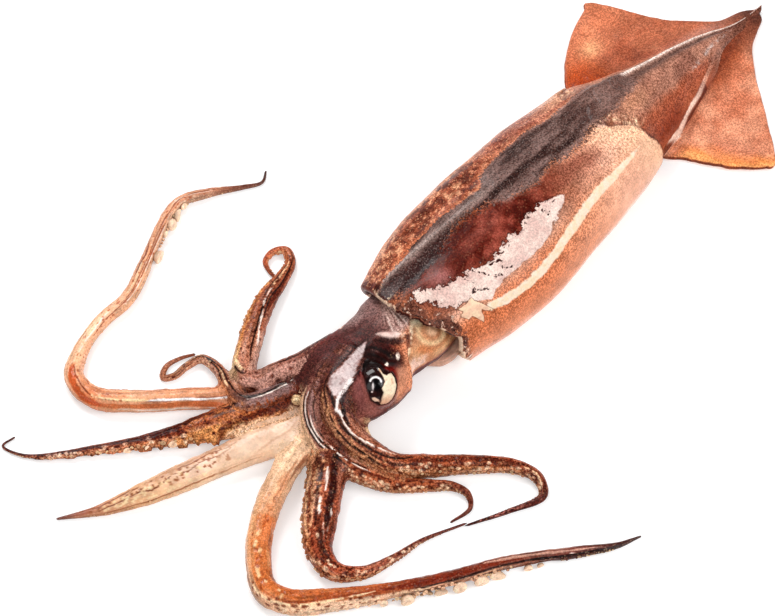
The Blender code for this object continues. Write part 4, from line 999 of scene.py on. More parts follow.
def build_head():
    rows, cols = 170, 232
    xs = 6 - 70 * np.linspace(0, 1, rows)
    a = 2 * np.pi * np.arange(cols) / cols
    X, A = np.meshgrid(xs, a, indexing="ij")
    X, A = X.ravel(), A.ravel()
    D = np.degrees(A)
    base = head_section(X, A)
    nrm = normals(base, rows, cols)
    rad = 0.34
    W = D * rad
    wrap = lambda line: [(x, d * rad) for x, d in line]
    out = noise(base, 11, 71, 2) * 0.5 + noise(base, 4.0, 72, 2) * 0.22 + noise(base, 1.7, 73, 2) * 0.1
    # neck: a step behind the head, folds along it, and a ring
    seam_d = side_of(wrap(SEAM), X, W)
    seam_x = curve([(-a2, b2) for a2, b2 in [(-98, 0)]] if False else [(90, -8), (98, -9), (105, -11), (117, -15), (126, -18), (136, -21),
                   (146, -23.5), (158, -25.5), (172, -27), (186, -28)], np.clip(D, 90, 186))
    neck = step(-1.5, 1.5, X - seam_x) * step(88, 100, D)
    out -= 1.0 * neck * np.exp(-(X - seam_x) / 7) * step(200, 186, D)
    out -= 0.5 * bump(seam_d, 0, 0.7)
    out += 0.45 * bump(seam_d, 1.6, 1.0)
    ring = np.hypot(X + 7.9, (D - 131) * rad)
    out += 0.9 * bump(ring, 0, 3.0) - 0.3 * bump(ring, 4.6, 1.3) + 0.7 * bump(ring, 6.8, 1.7)
    # fine folds fan out from the far corner of the collar
    hub = np.array((-11.0, -5.0))
    spread = np.degrees(np.arctan2(-(base[:, 0] - hub[0]), -(base[:, 1] - hub[1])))
    reach = np.hypot(base[:, 0] - hub[0], base[:, 1] - hub[1])
    stria = np.sin(spread * 0.9 + noise(base, 4, 74, 2) * 3.0) * 0.6 + noise(np.stack([spread * 0.5, reach * 0.12, reach * 0], 1), 1.2, 77, 2) * 1.3
    fan_on = step(-4, 4, spread) * step(62, 34, spread + noise(base, 4, 75, 1) * 6) * step(28, 22, reach) * (base[:, 2] > 16)
    streaks = fan_on * step(2, 6, reach) * step(44, 30, spread)
    out += streaks * stria * 0.09
    out += 1.2 * bump(X, -19, 9) * bump(D, 42, 24)
    leaf = inside(LEAF, base[:, 0], base[:, 1]) * 1.0 - (base[:, 2] < 18) * 20
    out += 0.6 * step(-0.3, 0.8, leaf)
    under_leaf = inside([(a - 2.2, b - 2.0) for a, b in LEAF], base[:, 0], base[:, 1]) - (base[:, 2] < 18) * 20
    out -= 0.5 * step(-1.5, 0.8, under_leaf) * step(0.2, -0.6, leaf)
    pts = base + nrm * np.minimum(out, 2.1)[:, None]
    # lids: the skin opens over each eyeball, with a thick lid around the opening and folds beyond
    views = {}
    for name in EYES:
        v = eye_view(base, name)
        rho = opening(v, name)
        far = name == "eye_right"
        facing = step(-0.15, 0.25, v[:, 2]) if not far else step(0.05, 0.35, v[:, 2])
        cover = facing if not far else step(-0.8, -0.5, v[:, 2])
        dist = np.linalg.norm(base - EYES[name], axis=1)
        away = (base - EYES[name]) / dist[:, None]
        up = np.clip(v[:, 1], 0, 1.4)
        ridge = 10.6 + 0.7 * bump(rho, 1.22, 0.18) * (0.25 + 0.75 * step(-0.3, 0.7, v[:, 1]))
        for centre, high in ((1.62, 0.55), (1.95, 0.4)):
            ridge = ridge + high * bump(rho, centre, 0.11) * step(0.1, 0.7, v[:, 1])
        open_r = 8.6
        want = np.where(rho < 1, open_r, ridge)
        want = open_r + (np.maximum(ridge, dist * 0 + 10.6) - open_r) * step(0.93, 1.06, rho)
        hold = step(2.2, 1.5, rho)
        lift = np.where(rho > 1.06, np.maximum(want - dist, 0) * cover, np.where(want > dist, (want - dist) * cover, (want - dist) * facing))
        lift = np.where((v[:, 2] < 0.05) & (lift < 0), 0, lift)
        pts = pts + away * (lift * hold)[:, None]
        fold = facing * step(2.6, 2.2, rho) * step(0.0, 0.7, v[:, 1]) * step(1.1, 0.6, v[:, 0])
        for centre in (1.45, 1.85):
            pts = pts - nrm * (0.3 * bump(rho, centre, 0.08) * fold)[:, None]
        views[name] = (v, rho, facing)
    pts[:, 2] = np.clip(pts[:, 2], 0.05, None)
    clear = np.minimum(views["eye_left"][1] + (1 - views["eye_left"][2]) * 9, views["eye_right"][1] + (1 - views["eye_right"][2]) * 9)
    pts = melt(pts, nrm, "head", near=lambda q: (q[:, 0] < -36) & (clear > 1.3))

    # ---------------- colours
    rgb = lambda *c: linear(*c)[None, :].repeat(len(X), 0)
    n1, n2 = noise(base, 8, 81, 3), noise(base, 3, 82, 2)
    col = rgb(140, 92, 78)
    n3 = noise(base, 1.6, 85, 2)
    # the dome: mauve-brown, with a painted sheen making it lightest along its upper side
    dome = mix(rgb(108, 66, 62), rgb(76, 36, 33), step(-0.1, 0.4, n1))
    dome = mix(dome, rgb(92, 44, 42), step(-24, -40, X + n1 * 5))
    dome = mix(dome, rgb(176, 150, 146), step(66, 44, D + n1 * 8) * step(-36, -24, X + n1 * 3) * 0.85)
    dome = mix(dome, rgb(134, 100, 96), step(96, 70, D + n1 * 8) * step(-30, -16, X + n1 * 3) * 0.7)
    dome = mix(dome, rgb(126, 78, 74), step(62, 30, D) * step(-26, -40, X) * 0.7)
    dome = mix(dome, rgb(74, 36, 34), bump(D, 84, 10) * bump(X, -25, 7) * 0.75)
    col = mix(col, dome, step(118, 104, D) * step(-10, 10, D + 10))
    col = mix(col, rgb(206, 172, 162), fan_on * step(44, 26, spread) * 0.9 + fan_on * 0.0)
    col = mix(col, rgb(150, 114, 106), fan_on * step(26, 44, spread) * 0.8)
    col = mix(col, rgb(226, 204, 194), streaks * step(0.15, 0.8, stria) * 0.7)
    col = mix(col, rgb(112, 76, 70), streaks * step(-0.15, -0.8, stria) * 0.6)
    # the neck
    cream = mix(rgb(190, 130, 94), rgb(218, 166, 126), step(-0.3, 0.5, n1))
    cream = mix(cream, rgb(186, 116, 76), step(0.0, 0.6, noise(base, 5, 83, 2)) * 0.5)
    cream = mix(cream, rgb(200, 128, 84), bump(ring, 9.6, 2.2) * step(130, 138, D + X * 0.4) * 0.85)
    cream = mix(cream, rgb(240, 196, 160), step(3.8, 1.6, ring) * 0.9)
    cream = mix(cream, rgb(214, 152, 112), bump(ring, 3.6, 1.0) * 0.7)
    cream = mix(cream, rgb(252, 222, 176), bump(ring, 5.9, 1.4) * 0.75)
    cream = mix(cream, rgb(254, 244, 214), np.exp(-(((X + 9) / 6) ** 2 + ((D - 109) / 6) ** 2)) * 0.95)
    # painted pinkish sheen on the lower neck
    cream = mix(cream, rgb(246, 212, 196), step(146, 156, D) * step(-11, -16, X + 2) * step(-0.5, 0.2, n2) * 0.9)
    cream = mix(cream, rgb(236, 190, 144), bump(D, 166, 9) * step(-16, -10, X) * 0.8)
    # painted shade towards the neck's lower side
    cream = mix(cream, rgb(206, 140, 104), step(172, 184, D) * 0.8)
    cream = mix(cream, rgb(140, 74, 50), step(3.5, 7, X) * 0.6)
    # painted shadow along the neck's lowest edge
    cream = mix(cream, rgb(86, 26, 16), step(188, 196, D) * 0.95)
    col = mix(col, cream, neck * step(214, 200, D))
    side = step(0.5, -1.0, X - seam_x) * step(104, 118, D) * step(215, 195, D)
    col = mix(col, mix(rgb(178, 106, 74), rgb(212, 144, 108), step(-0.3, 0.4, n1)), side * step(-46, -32, X))
    col = mix(col, rgb(132, 78, 70), side * step(-34, -46, X) * 0.9)
    # painted shade along the lower side of the head
    col = mix(col, rgb(86, 26, 14), side * step(184, 192, D - (X + 30) * 0.3) * 0.95)
    col = mix(col, rgb(252, 232, 200), bump(seam_d, 0.3, 0.5) * step(92, 104, D) * step(-0.5, 0.1, n3) * 0.95)
    col = mix(col, rgb(116, 58, 40), bump(X - seam_x, -1.4, 0.7) * step(100, 110, D) * step(176, 168, D) * step(0.3, -0.2, n3) * 0.7)
    gritty = np.exp(-(((X + 18.5) / 4.5) ** 2 + ((D - 118) / 9) ** 2))
    col = mix(col, rgb(214, 190, 170), gritty * step(-0.1, 0.4, n3) * 0.9)
    col = mix(col, rgb(84, 50, 42), gritty * step(0.1, -0.35, n3) * 0.8)
    low = step(190, 206, D) * step(340, 320, D)
    col = mix(col, rgb(140, 66, 46), low)
    col = mix(col, rgb(176, 108, 84), step(222, 250, D) * step(320, 290, D))
    right = step(20, 4, D) + step(320, 345, D)
    col = mix(col, rgb(134, 88, 78), np.clip(right, 0, 1) * step(-8, -16, X))
    col = mix(col, rgb(84, 38, 34), step(-44, -54, X + n1 * 3) * step(160, 130, D) * 0.85)
    web = inside(PALE_WEB, base[:, 0], base[:, 1]) + noise(base, 2.5, 86, 3) * 1.1
    flesh = mix(rgb(226, 188, 158), rgb(240, 206, 178), step(-0.3, 0.4, n1))
    col = mix(col, flesh, step(-0.5, 0.5, web) * step(0.0, -20, D - 250))
    # painted shadow under the leaf
    col = mix(col, rgb(40, 14, 12), step(-1.8, 0.9, under_leaf) * step(0.2, -0.3, leaf) * 0.85)
    # the leaf: a raised lid edge whose pale pink is a painted highlight
    col = mix(col, mix(rgb(238, 210, 200), rgb(206, 164, 156), step(0.1, 0.5, n2)), step(-0.25, 0.35, leaf + n3 * 0.25))
    for name, (v, rho, facing) in views.items():
        u, w = v[:, 0], v[:, 1]
        k = facing * step(3.2, 2.8, rho) * step(0.6, -0.2, leaf)
        tone = step(2.1, 1.6, rho) * k
        # colours of the skin round the eye: orange-tan to the right, mauve to the left and below
        col = mix(col, rgb(222, 156, 122), tone * step(0.6, 1.1, u) * step(-1.0, -0.5, w) * 0.9)
        col = mix(col, rgb(146, 88, 80), tone * step(0.3, -0.4, w) * step(0.9, 0.4, u) * 0.9)
        col = mix(col, rgb(130, 76, 72), tone * step(-0.2, -0.6, u) * step(0.7, 0.2, w) * 0.9)
        col = mix(col, rgb(172, 114, 104), bump(np.hypot(u + 0.12, w + 0.95), 0, 0.34) * k * 0.7)
        rim_l = bump(rho, 1.3, 0.1) * step(-0.1, -0.4, u) * step(0.5, 0.2, w) * step(-0.9, -0.6, w)
        col = mix(col, rgb(176, 108, 100), rim_l * k * 0.7)
        wine = step(2.0, 1.5, np.hypot(u - 0.36, w - 0.36) * 1.3) * step(0.1, 0.5, w + u * 0.25)
        wine_tone = mix(rgb(110, 18, 14), rgb(204, 142, 112), step(0.62, 1.05, u - w * 0.05))
        col = mix(col, wine_tone, np.clip(wine, 0, 1) * k * 0.95)
        # black corner of the opening, painted as the lids' shadow, and the folds above it
        corner = inside([(-0.5, 0.5), (-0.56, 0.9), (-0.32, 1.14), (0.06, 0.92), (0.34, 0.64), (0.1, 0.6), (-0.3, 0.35)], u, w)
        col = mix(col, rgb(14, 4, 4), step(-0.08, 0.04, corner) * k)
        col = mix(col, rgb(40, 10, 8), step(1.14, 1.03, rho) * k)
        lids = step(0.45, 0.8, w + np.clip(-u, 0, 1) * 0.4) * k * step(1.0, 0.6, u) * step(1.2, 1.36, rho)
        crown_dark = step(1.25, 1.5, rho) * step(2.7, 2.3, rho) * step(0.6, 1.0, w) * k * step(1.45, 1.0, u)
        col = mix(col, rgb(44, 12, 9), crown_dark * 0.9)
        for centre, wide in ((1.32, 0.05), (1.62, 0.07), (2.02, 0.08)):
            col = mix(col, rgb(18, 5, 5), bump(rho + n3 * 0.05, centre, wide) * lids * 0.95)
        # thin painted highlights along the lid folds
        for centre in (1.5, 1.92):
            col = mix(col, rgb(140, 108, 104), bump(rho + n3 * 0.05, centre, 0.03) * lids * step(0.7, 0.0, u) * step(-0.3, 0.2, n3) * 0.8)
        col = mix(col, rgb(30, 8, 6), np.exp(-(((u + 0.1) / 0.5) ** 2 + ((w - 1.02 + u * 0.2) / 0.16) ** 2)) * k * 0.9)
        # two painted glints on the maroon skin above the eye
        for gu, gw, ru, rw in ((0.95, 1.22, 0.085, 0.15), (0.48, 0.87, 0.075, 0.085)):
            spot = np.hypot((u - gu) / ru, (w - gw) / rw)
            col = mix(col, rgb(255, 240, 226), step(1.25, 0.75, spot) * k)
    shiny = step(-0.3, 0.35, inside(BASE_SHINE, base[:, 0], base[:, 1]) + noise(base, 1.6, 84, 2) * 0.6) * (base[:, 2] > 15)
    col = mix(col, mix(rgb(226, 210, 208), rgb(186, 160, 158), step(0.1, 0.5, n3)), shiny * 0.95)
    col = mix(col, rgb(50, 20, 18), bump(inside(BASE_SHINE, base[:, 0], base[:, 1]), -1.1, 0.6) * (base[:, 2] > 18) * 0.8)
    # painted shade along the head's lower near side
    lower_side_shade = np.maximum(step(178, 188, D), step(145, 160, D) * step(11, 8, pts[:, 2])) * step(226, 216, D) * step(-54, -44, X) * step(2, -3, X)
    col = mix(col, rgb(84, 14, 8), lower_side_shade * 0.85)
    around_eye = step(2.2, 1.6, views["eye_left"][1]) * views["eye_left"][2]
    spk = np.full(len(X), 0.9)
    spk -= 0.5 * neck
    spk *= 1 - 0.55 * around_eye
    spk *= 1 - 0.8 * step(-0.3, 0.3, leaf)
    spk = np.where(D > 210, 0.25, np.clip(spk, 0.12, 1)) * (1 - 0.8 * shiny)
    wet = 0.35 + 0.5 * shiny - 0.6 * step(-38, -28, X) * step(112, 96, D)
    for name, (v, rho, facing) in views.items():
        wet = wet + step(1.8, 1.3, rho) * facing * 0.6
    gold = (0.25 * side + 0.1) * (1 - around_eye)
    n = rows * cols
    tip = np.array([-66.3, -14.4, 11.0])
    points = np.vstack([pts, [[6.5, -18, 15]], [tip]])
    faces = grid_faces(rows, cols)
    ends = np.vstack([fan(np.arange(cols)[::-1], n), fan((rows - 1) * cols + np.arange(cols), n + 1)])
    add = lambda v: np.concatenate([v, [v[0], v[-1]]])
    attrs = {"Col": np.vstack([col, col[:1], col[-1:]]), "spk": add(spk), "gold": add(gold), "wet": add(np.clip(wet, -0.6, 1))}
    return make_mesh("head_skin_mesh", points, [faces, ends], attrs, HEAD_SKIN)


def eye_gloss():
    g = Graph("eye")
    g.put(g.bsdf.inputs["Base Color"], g.scale(g.attr("Col"), g.map(g.noise(0.9, 3, 0.7), 0.3, 0.7, 0.85, 1.1)))
    g.put(g.bsdf.inputs["Roughness"], g.map(g.noise(3.0, 2), 0.3, 0.7, 0.1, 0.2))
    g.bsdf.inputs["Coat Weight"].default_value = 0.25
    g.bsdf.inputs["Coat Roughness"].default_value = 0.04
    g.bsdf.inputs["Specular IOR Level"].default_value = 0.12
    return g.mat


EYE_GLOSS = eye_gloss()


def build_eye(name):
    rows, cols = 130, 170
    t = np.pi * (np.arange(1, rows + 1)) / (rows + 1)
    f = 2 * np.pi * np.arange(cols) / cols
    T, F = np.meshgrid(t, f, indexing="ij")
    T, F = T.ravel(), F.ravel()
    v = np.stack([np.sin(T) * np.cos(F), np.sin(T) * np.sin(F), np.cos(T)], 1)
    v = np.vstack([v, [[0, 0, 1.0]], [[0, 0, -1.0]]])
    u, w = v[:, 0], v[:, 1]
    front = v[:, 2] > 0
    nz = noise(v * 10, 2.0, 91, 2)
    r = EYE_RADIUS * np.ones(len(v))
    iris = np.where(front, inside(IRIS, u, w), -1.0)
    r += 0.3 * step(-0.05, 0.05, iris) + 0.12 * nz * step(0, 0.1, iris)
    pupil = np.hypot(u - 0.07, w - 0.07)
    r += np.where(front, 0.25 * step(0.27, 0.16, pupil), 0)
    points = EYES[name] + (v * r[:, None]) @ GAZE[name]
    rgb = lambda *c: linear(*c)[None, :].repeat(len(v), 0)
    col = mix(rgb(34, 12, 10), rgb(16, 5, 6), step(0.5, 0.3, np.hypot(u, w - 0.1)))
    col = mix(col, rgb(66, 26, 24), step(0.2, 0.6, nz) * 0.5)
    # a painted grey reflection on the dark eyeball
    grey_reflection = np.exp(-(((u + 0.2) / 0.13) ** 2 + ((w - 0.4) / 0.06) ** 2))
    col = mix(col, rgb(122, 112, 112), grey_reflection * front * step(-0.35, 0.15, nz) * 0.9)
    warm = mix(rgb(252, 232, 200), rgb(238, 190, 156), step(-0.25, -0.65, w + nz * 0.1))
    warm = mix(warm, rgb(222, 164, 128), step(0.1, 0.5, nz) * 0.6)
    warm = mix(warm, rgb(196, 120, 84), step(0.62, 0.9, np.hypot(u - 0.1, w)) * step(0.1, -0.4, w) * 0.4)
    col = mix(col, rgb(26, 8, 8), bump(iris, -0.04, 0.04) * 0.9)
    col = mix(col, warm, step(-0.02, 0.035, iris + nz * 0.02))
    col = mix(col, rgb(3, 2, 3), step(0.23, 0.19, pupil) * front)
    chip = inside([(-0.15, -0.49), (-0.01, -0.47), (0.18, -0.58), (0.15, -0.66), (-0.01, -0.67), (-0.13, -0.58)], u, w)
    col = mix(col, rgb(246, 208, 180), step(-0.02, 0.03, chip) * front)
    col = mix(col, rgb(30, 10, 10), bump(chip, -0.05, 0.035) * front * 0.8)
    # painted wet glints over the pupil
    ring, turned = np.hypot(u - 0.02, w - 0.13), np.degrees(np.arctan2(w - 0.13, u - 0.02))
    arc = bump(ring, 0.235, 0.04) * step(-8, 12, turned) * step(178, 160, turned) * front
    col = mix(col, rgb(255, 252, 250), np.clip(arc * 1.6, 0, 1))
    streak = np.exp(-(((u + 0.09) / 0.045) ** 2 + ((w + 0.02) / 0.15) ** 2)) * front
    col = mix(col, rgb(238, 228, 226), np.clip(streak * 1.5, 0, 1))
    small = np.hypot((u + 0.13) * 1.0, (w + 0.25) * 1.2)
    col = mix(col, rgb(226, 206, 200), step(0.06, 0.03, small) * front)
    if name == "eye_right":                          # seen face on, this frame is left-handed
        flip = True
    else:
        flip = False
    faces = grid_faces(rows, cols)
    n = rows * cols
    ends = np.vstack([fan(np.arange(cols)[::-1], n), fan((rows - 1) * cols + np.arange(cols), n + 1)])
    if flip:
        faces, ends = faces[:, ::-1], ends[:, ::-1]
    return make_mesh(name + "_ball", points, [faces, ends], {"Col": col}, EYE_GLOSS)


# ------------------------------------------------------------------ arms and tentacles
# skin: colours of the back along the limb; oral: colours of the sucker side, facing `mouth` degrees round from the limb's left;
# strokes: folds, creases, painted sheen and painted highlight lines as (colour, strength, half width in degrees,
# [(place along, degrees round), ...]);
# specks: scattered bumps as (colour, from, to, degrees, degrees, how many, least and greatest radius)
# the second tone, near white, marks painted highlight lines
INK, HIGHLIGHT_WHITE, CREAM, TAN = (36, 12, 9), (252, 238, 228), (244, 212, 174), (208, 152, 116)
# the third tone, lilac grey, marks painted sheen
PINK, WINE, LILAC_SHEEN, RUST = (214, 170, 152), (98, 38, 24), (156, 124, 120), (212, 118, 70)
SKINS = {
    "arm_1": dict(
        skin=[(0, (110, 62, 52)), (0.12, (160, 106, 92)), (0.2, (188, 134, 116)), (0.3, (182, 124, 104)), (0.4, (184, 128, 102)),
              (0.5, (168, 104, 78)), (0.65, (158, 92, 68)), (0.8, (174, 102, 70)), (0.9, (184, 96, 60)), (1, (140, 84, 66))],
        mouth=8, oral=[(0, (70, 26, 18)), (0.28, (92, 42, 28)), (0.35, (226, 192, 148)), (0.45, (204, 136, 84)), (0.65, (192, 118, 78)),
                       (0.8, (184, 108, 72)), (0.9, (208, 128, 88)), (1, (160, 100, 80))],
        # arm_1: the pinkish-grey (200, 154, 140) stroke and the pink stroke are painted highlights
        strokes=[(INK, 0.9, 11, [(0, 36), (0.1, 20), (0.2, 8), (0.29, 355 - 360)]), ((200, 154, 140), 0.9, 25, [(0.05, 66), (0.15, 60), (0.24, 54), (0.31, 52)]),
                 (INK, 0.6, 6, [(0.04, 118), (0.12, 116), (0.2, 122)]), (PINK, 0.8, 24, [(0.26, 125), (0.34, 140), (0.44, 155), (0.5, 150)]),
                 (INK, 0.85, 6, [(0.285, 92), (0.31, 62), (0.34, 40)]), (CREAM, 0.9, 9, [(0.295, 98), (0.32, 72), (0.36, 52)]),
                 (INK, 0.9, 5, [(0.34, 118), (0.42, 116), (0.5, 112), (0.56, 106), (0.64, 104)]),
                 (HIGHLIGHT_WHITE, 0.9, 6, [(0.42, 142), (0.47, 128), (0.52, 120), (0.56, 113)]), (HIGHLIGHT_WHITE, 0.85, 6, [(0.57, 106), (0.6, 98), (0.65, 96)]),
                 (WINE, 0.8, 12, [(0.56, 142), (0.66, 146), (0.75, 132)]), (INK, 0.85, 6, [(0.53, 132), (0.6, 122), (0.66, 128), (0.74, 122), (0.8, 108)]),
                 (CREAM, 0.7, 8, [(0.65, 92), (0.7, 86), (0.75, 88), (0.78, 80)]), (INK, 0.6, 5, [(0.6, 84), (0.68, 76), (0.76, 70)])],
        specks=[((228, 172, 112), 0.38, 0.68, 25, 78, 34, 0.4, 0.8), (WINE, 0.1, 0.8, 60, 150, 60, 0.4, 0.7)],
        spk=0.8, gold=0.4, mat=ARM_SKIN),
    "arm_2": dict(
        skin=[(0, (110, 70, 64)), (0.12, (66, 28, 24)), (0.2, (118, 82, 76)), (0.3, (138, 106, 102)), (0.38, (120, 80, 70)),
              (0.45, (150, 96, 72)), (0.6, (166, 106, 80)), (0.8, (186, 126, 96)), (1, (150, 90, 68))],
        mouth=0, oral=[(0, (90, 50, 44)), (0.3, (122, 86, 78)), (0.45, (188, 118, 74)), (0.6, (204, 150, 122)), (0.8, (204, 148, 120)), (1, (140, 80, 60))],
        strokes=[(LILAC_SHEEN, 0.8, 22, [(0.15, 75), (0.25, 58), (0.38, 48)]), (INK, 0.95, 13, [(0.13, 130), (0.2, 116), (0.28, 101), (0.35, 93), (0.4, 102)]),
                 (HIGHLIGHT_WHITE, 0.95, 6, [(0.15, 122), (0.2, 102), (0.26, 90), (0.32, 82), (0.37, 70)]),
                 (PINK, 0.7, 14, [(0.4, 150), (0.46, 142), (0.54, 138), (0.6, 130)]), (INK, 0.95, 8, [(0.38, 104), (0.46, 104), (0.55, 102), (0.64, 98), (0.72, 96)]),
                 (CREAM, 0.9, 8, [(0.45, 80), (0.5, 84), (0.56, 84)]), (INK, 0.9, 7, [(0.49, 58), (0.55, 66), (0.62, 76), (0.66, 80)]),
                 (PINK, 0.6, 12, [(0.52, 44), (0.62, 50), (0.72, 60)]), (CREAM, 0.5, 8, [(0.66, 112), (0.74, 110), (0.82, 100)]),
                 (INK, 0.5, 5, [(0.7, 60), (0.76, 50), (0.82, 40)])],
        specks=[(WINE, 0.4, 0.85, 20, 150, 40, 0.3, 0.55), (CREAM, 0.45, 0.85, 20, 140, 26, 0.3, 0.5)],
        spk=0.6, gold=0.3, mat=ARM_SKIN),
    "arm_3": dict(
        skin=[(0, (110, 66, 60)), (0.1, (112, 54, 38)), (0.2, (140, 74, 44)), (0.3, (180, 108, 66)), (0.4, (164, 90, 58)), (0.5, (112, 44, 28)),
              (0.6, (140, 72, 44)), (0.8, (150, 80, 52)), (0.9, (110, 50, 38)), (1, (80, 38, 30))],
        mouth=12, oral=[(0, (216, 174, 134)), (0.1, (222, 182, 142)), (0.2, (236, 200, 164)), (0.3, (218, 164, 108)), (0.42, (200, 134, 84)),
                        (0.5, (196, 128, 88)), (0.65, (190, 120, 84)), (0.8, (186, 116, 84)), (0.95, (120, 60, 44)), (1, (80, 38, 30))],
        strokes=[(LILAC_SHEEN, 0.85, 16, [(0.1, 120), (0.17, 118), (0.24, 112), (0.3, 124)]), (INK, 0.9, 6, [(0.09, 136), (0.16, 142), (0.22, 138), (0.27, 146)]),
                 ((100, 38, 14), 0.9, 14, [(0.1, 80), (0.14, 60), (0.2, 57), (0.27, 62)]), (INK, 0.7, 8, [(0.22, 112), (0.27, 124), (0.32, 132)]),
                 ((72, 20, 12), 0.85, 20, [(0.32, 136), (0.42, 118), (0.5, 104), (0.6, 104), (0.75, 96), (0.95, 96)]), ((110, 48, 22), 0.7, 4, [(0.13, 42), (0.2, 32), (0.3, 26)])],
        specks=[((226, 164, 108), 0.14, 0.46, 18, 50, 80, 0.6, 1.2), ((196, 128, 80), 0.22, 0.44, 50, 112, 70, 0.4, 0.8),
                ((84, 26, 14), 0.2, 0.95, 30, 125, 90, 0.5, 1.1), ((252, 230, 208), 0.42, 0.86, 6, 84, 26, 0.9, 1.8)],
        spk=0.95, gold=0.3, mat=ARM_SKIN),
    "arm_4": dict(
        skin=[(0, (206, 158, 128)), (0.1, (232, 190, 164)), (0.2, (246, 206, 182)), (0.3, (252, 215, 191)), (0.5, (251, 212, 186)), (0.65, (238, 188, 148)),
              (0.8, (226, 170, 128)), (0.9, (170, 100, 76)), (1, (110, 58, 48))],
        mouth=5, oral=[(0, (226, 186, 156)), (0.5, (246, 206, 170)), (0.7, (228, 176, 132)), (0.85, (200, 136, 100)), (1, (110, 60, 50))],
        strokes=[((188, 132, 102), 0.6, 4, [(0.12, 112), (0.18, 80), (0.25, 66), (0.34, 40)]), ((200, 146, 112), 0.6, 16, [(0.15, 130), (0.4, 124), (0.6, 116), (0.7, 112)]), ((128, 66, 36), 0.8, 3, [(0.38, 104), (0.44, 92), (0.5, 100), (0.55, 84), (0.6, 98)]), ((128, 66, 36), 0.8, 3, [(0.34, 120), (0.4, 112), (0.46, 120), (0.52, 110), (0.58, 116)]),
                 ((110, 50, 24), 0.85, 4, [(0.6, 100), (0.64, 84), (0.68, 74), (0.72, 90), (0.78, 82), (0.83, 76), (0.88, 58)]),
                 ((150, 80, 44), 0.7, 5, [(0.3, 18), (0.5, 22), (0.7, 18), (0.9, 24)]), ((120, 56, 40), 0.6, 8, [(0.74, 128), (0.82, 120), (0.88, 100)]),
                 ((224, 178, 146), 0.5, 5, [(0.2, 44), (0.4, 40), (0.6, 50)])],
        specks=[((206, 150, 112), 0.1, 0.72, 92, 140, 80, 0.35, 0.7), ((140, 74, 40), 0.4, 0.92, 60, 124, 80, 0.35, 0.7), ((253, 226, 178), 0.5, 0.86, 40, 96, 60, 0.6, 1.2)],
        spk=0.22, gold=0.2, mat=PALE_FLESH),
    "arm_5": dict(
        skin=[(0, (120, 70, 58)), (0.2, (116, 60, 42)), (0.3, (164, 92, 66)), (0.4, (160, 86, 60)), (0.5, (154, 76, 50)), (0.6, (168, 88, 58)),
              (0.75, (150, 84, 62)), (0.85, (120, 58, 46)), (1, (90, 40, 38))],
        mouth=176, oral=[(0, (170, 112, 84)), (0.2, (190, 136, 104)), (0.35, (196, 138, 100)), (0.5, (170, 100, 66)), (0.6, (196, 130, 92)), (0.75, (160, 96, 70)), (1, (110, 56, 46))],
        strokes=[((58, 16, 10), 0.92, 12, [(0.17, 70), (0.24, 62), (0.3, 58), (0.36, 56), (0.42, 64)]), (HIGHLIGHT_WHITE, 0.95, 5, [(0.22, 85), (0.26, 83), (0.3, 82)]),
                 (HIGHLIGHT_WHITE, 0.95, 6, [(0.32, 92), (0.36, 94), (0.385, 88)]), (HIGHLIGHT_WHITE, 0.7, 4, [(0.4, 72), (0.46, 73)]), (HIGHLIGHT_WHITE, 0.9, 5, [(0.35, 48), (0.39, 46), (0.43, 54)]),
                 (INK, 0.6, 5, [(0.2, 98), (0.3, 102), (0.42, 102)]), ((70, 26, 14), 0.8, 10, [(0.42, 84), (0.5, 76), (0.56, 66)]),
                 (CREAM, 0.5, 8, [(0.22, 118), (0.33, 118), (0.42, 114)]), (CREAM, 0.5, 7, [(0.22, 146), (0.34, 144), (0.44, 138)]),
                 (WINE, 0.6, 6, [(0.2, 132), (0.32, 131), (0.44, 126)])],
        specks=[((218, 166, 126), 0.16, 0.46, 92, 172, 80, 0.4, 0.7), ((92, 34, 20), 0.3, 0.82, 58, 172, 80, 0.4, 0.9), ((252, 230, 202), 0.43, 0.84, 80, 168, 36, 0.7, 1.3)],
        spk=0.9, gold=0.6, mat=ARM_SKIN),
    "arm_6": dict(
        skin=[(0, (136, 86, 76)), (0.15, (152, 104, 92)), (0.3, (156, 106, 92)), (0.4, (170, 106, 78)), (0.5, (172, 98, 66)), (0.7, (172, 98, 64)),
              (0.85, (130, 68, 50)), (1, (100, 48, 40))],
        mouth=184, oral=[(0, (90, 50, 46)), (0.11, (110, 66, 54)), (0.14, (224, 184, 152)), (0.33, (230, 192, 158)), (0.38, (110, 60, 46)), (0.5, (180, 120, 86)),
                         (0.7, (190, 126, 88)), (0.85, (150, 92, 66)), (1, (110, 60, 44))],
        strokes=[(LILAC_SHEEN, 0.7, 8, [(0.08, 84), (0.16, 86), (0.24, 88)]), (PINK, 0.7, 18, [(0.3, 62), (0.36, 44), (0.5, 44)]),
                 (INK, 0.95, 6, [(0.12, 132), (0.2, 128), (0.3, 119), (0.37, 109), (0.44, 111)]), (HIGHLIGHT_WHITE, 0.95, 5, [(0.12, 106), (0.16, 117), (0.22, 118), (0.3, 111), (0.36, 102)]),
                 (INK, 0.9, 5, [(0.18, 108), (0.26, 104), (0.32, 98), (0.4, 94)]), (HIGHLIGHT_WHITE, 0.85, 4, [(0.2, 98), (0.27, 95), (0.31, 92)]),
                 (HIGHLIGHT_WHITE, 0.95, 6, [(0.32, 84), (0.4, 86), (0.46, 82), (0.51, 78)]), (INK, 0.9, 7, [(0.26, 82), (0.34, 73), (0.42, 73), (0.5, 67)]),
                 (INK, 0.6, 4, [(0.02, 60), (0.1, 62), (0.18, 72), (0.24, 76)]), (INK, 0.7, 6, [(0.36, 60), (0.4, 56), (0.44, 50)]),
                 (WINE, 0.7, 8, [(0.46, 92), (0.55, 86), (0.7, 78)])],
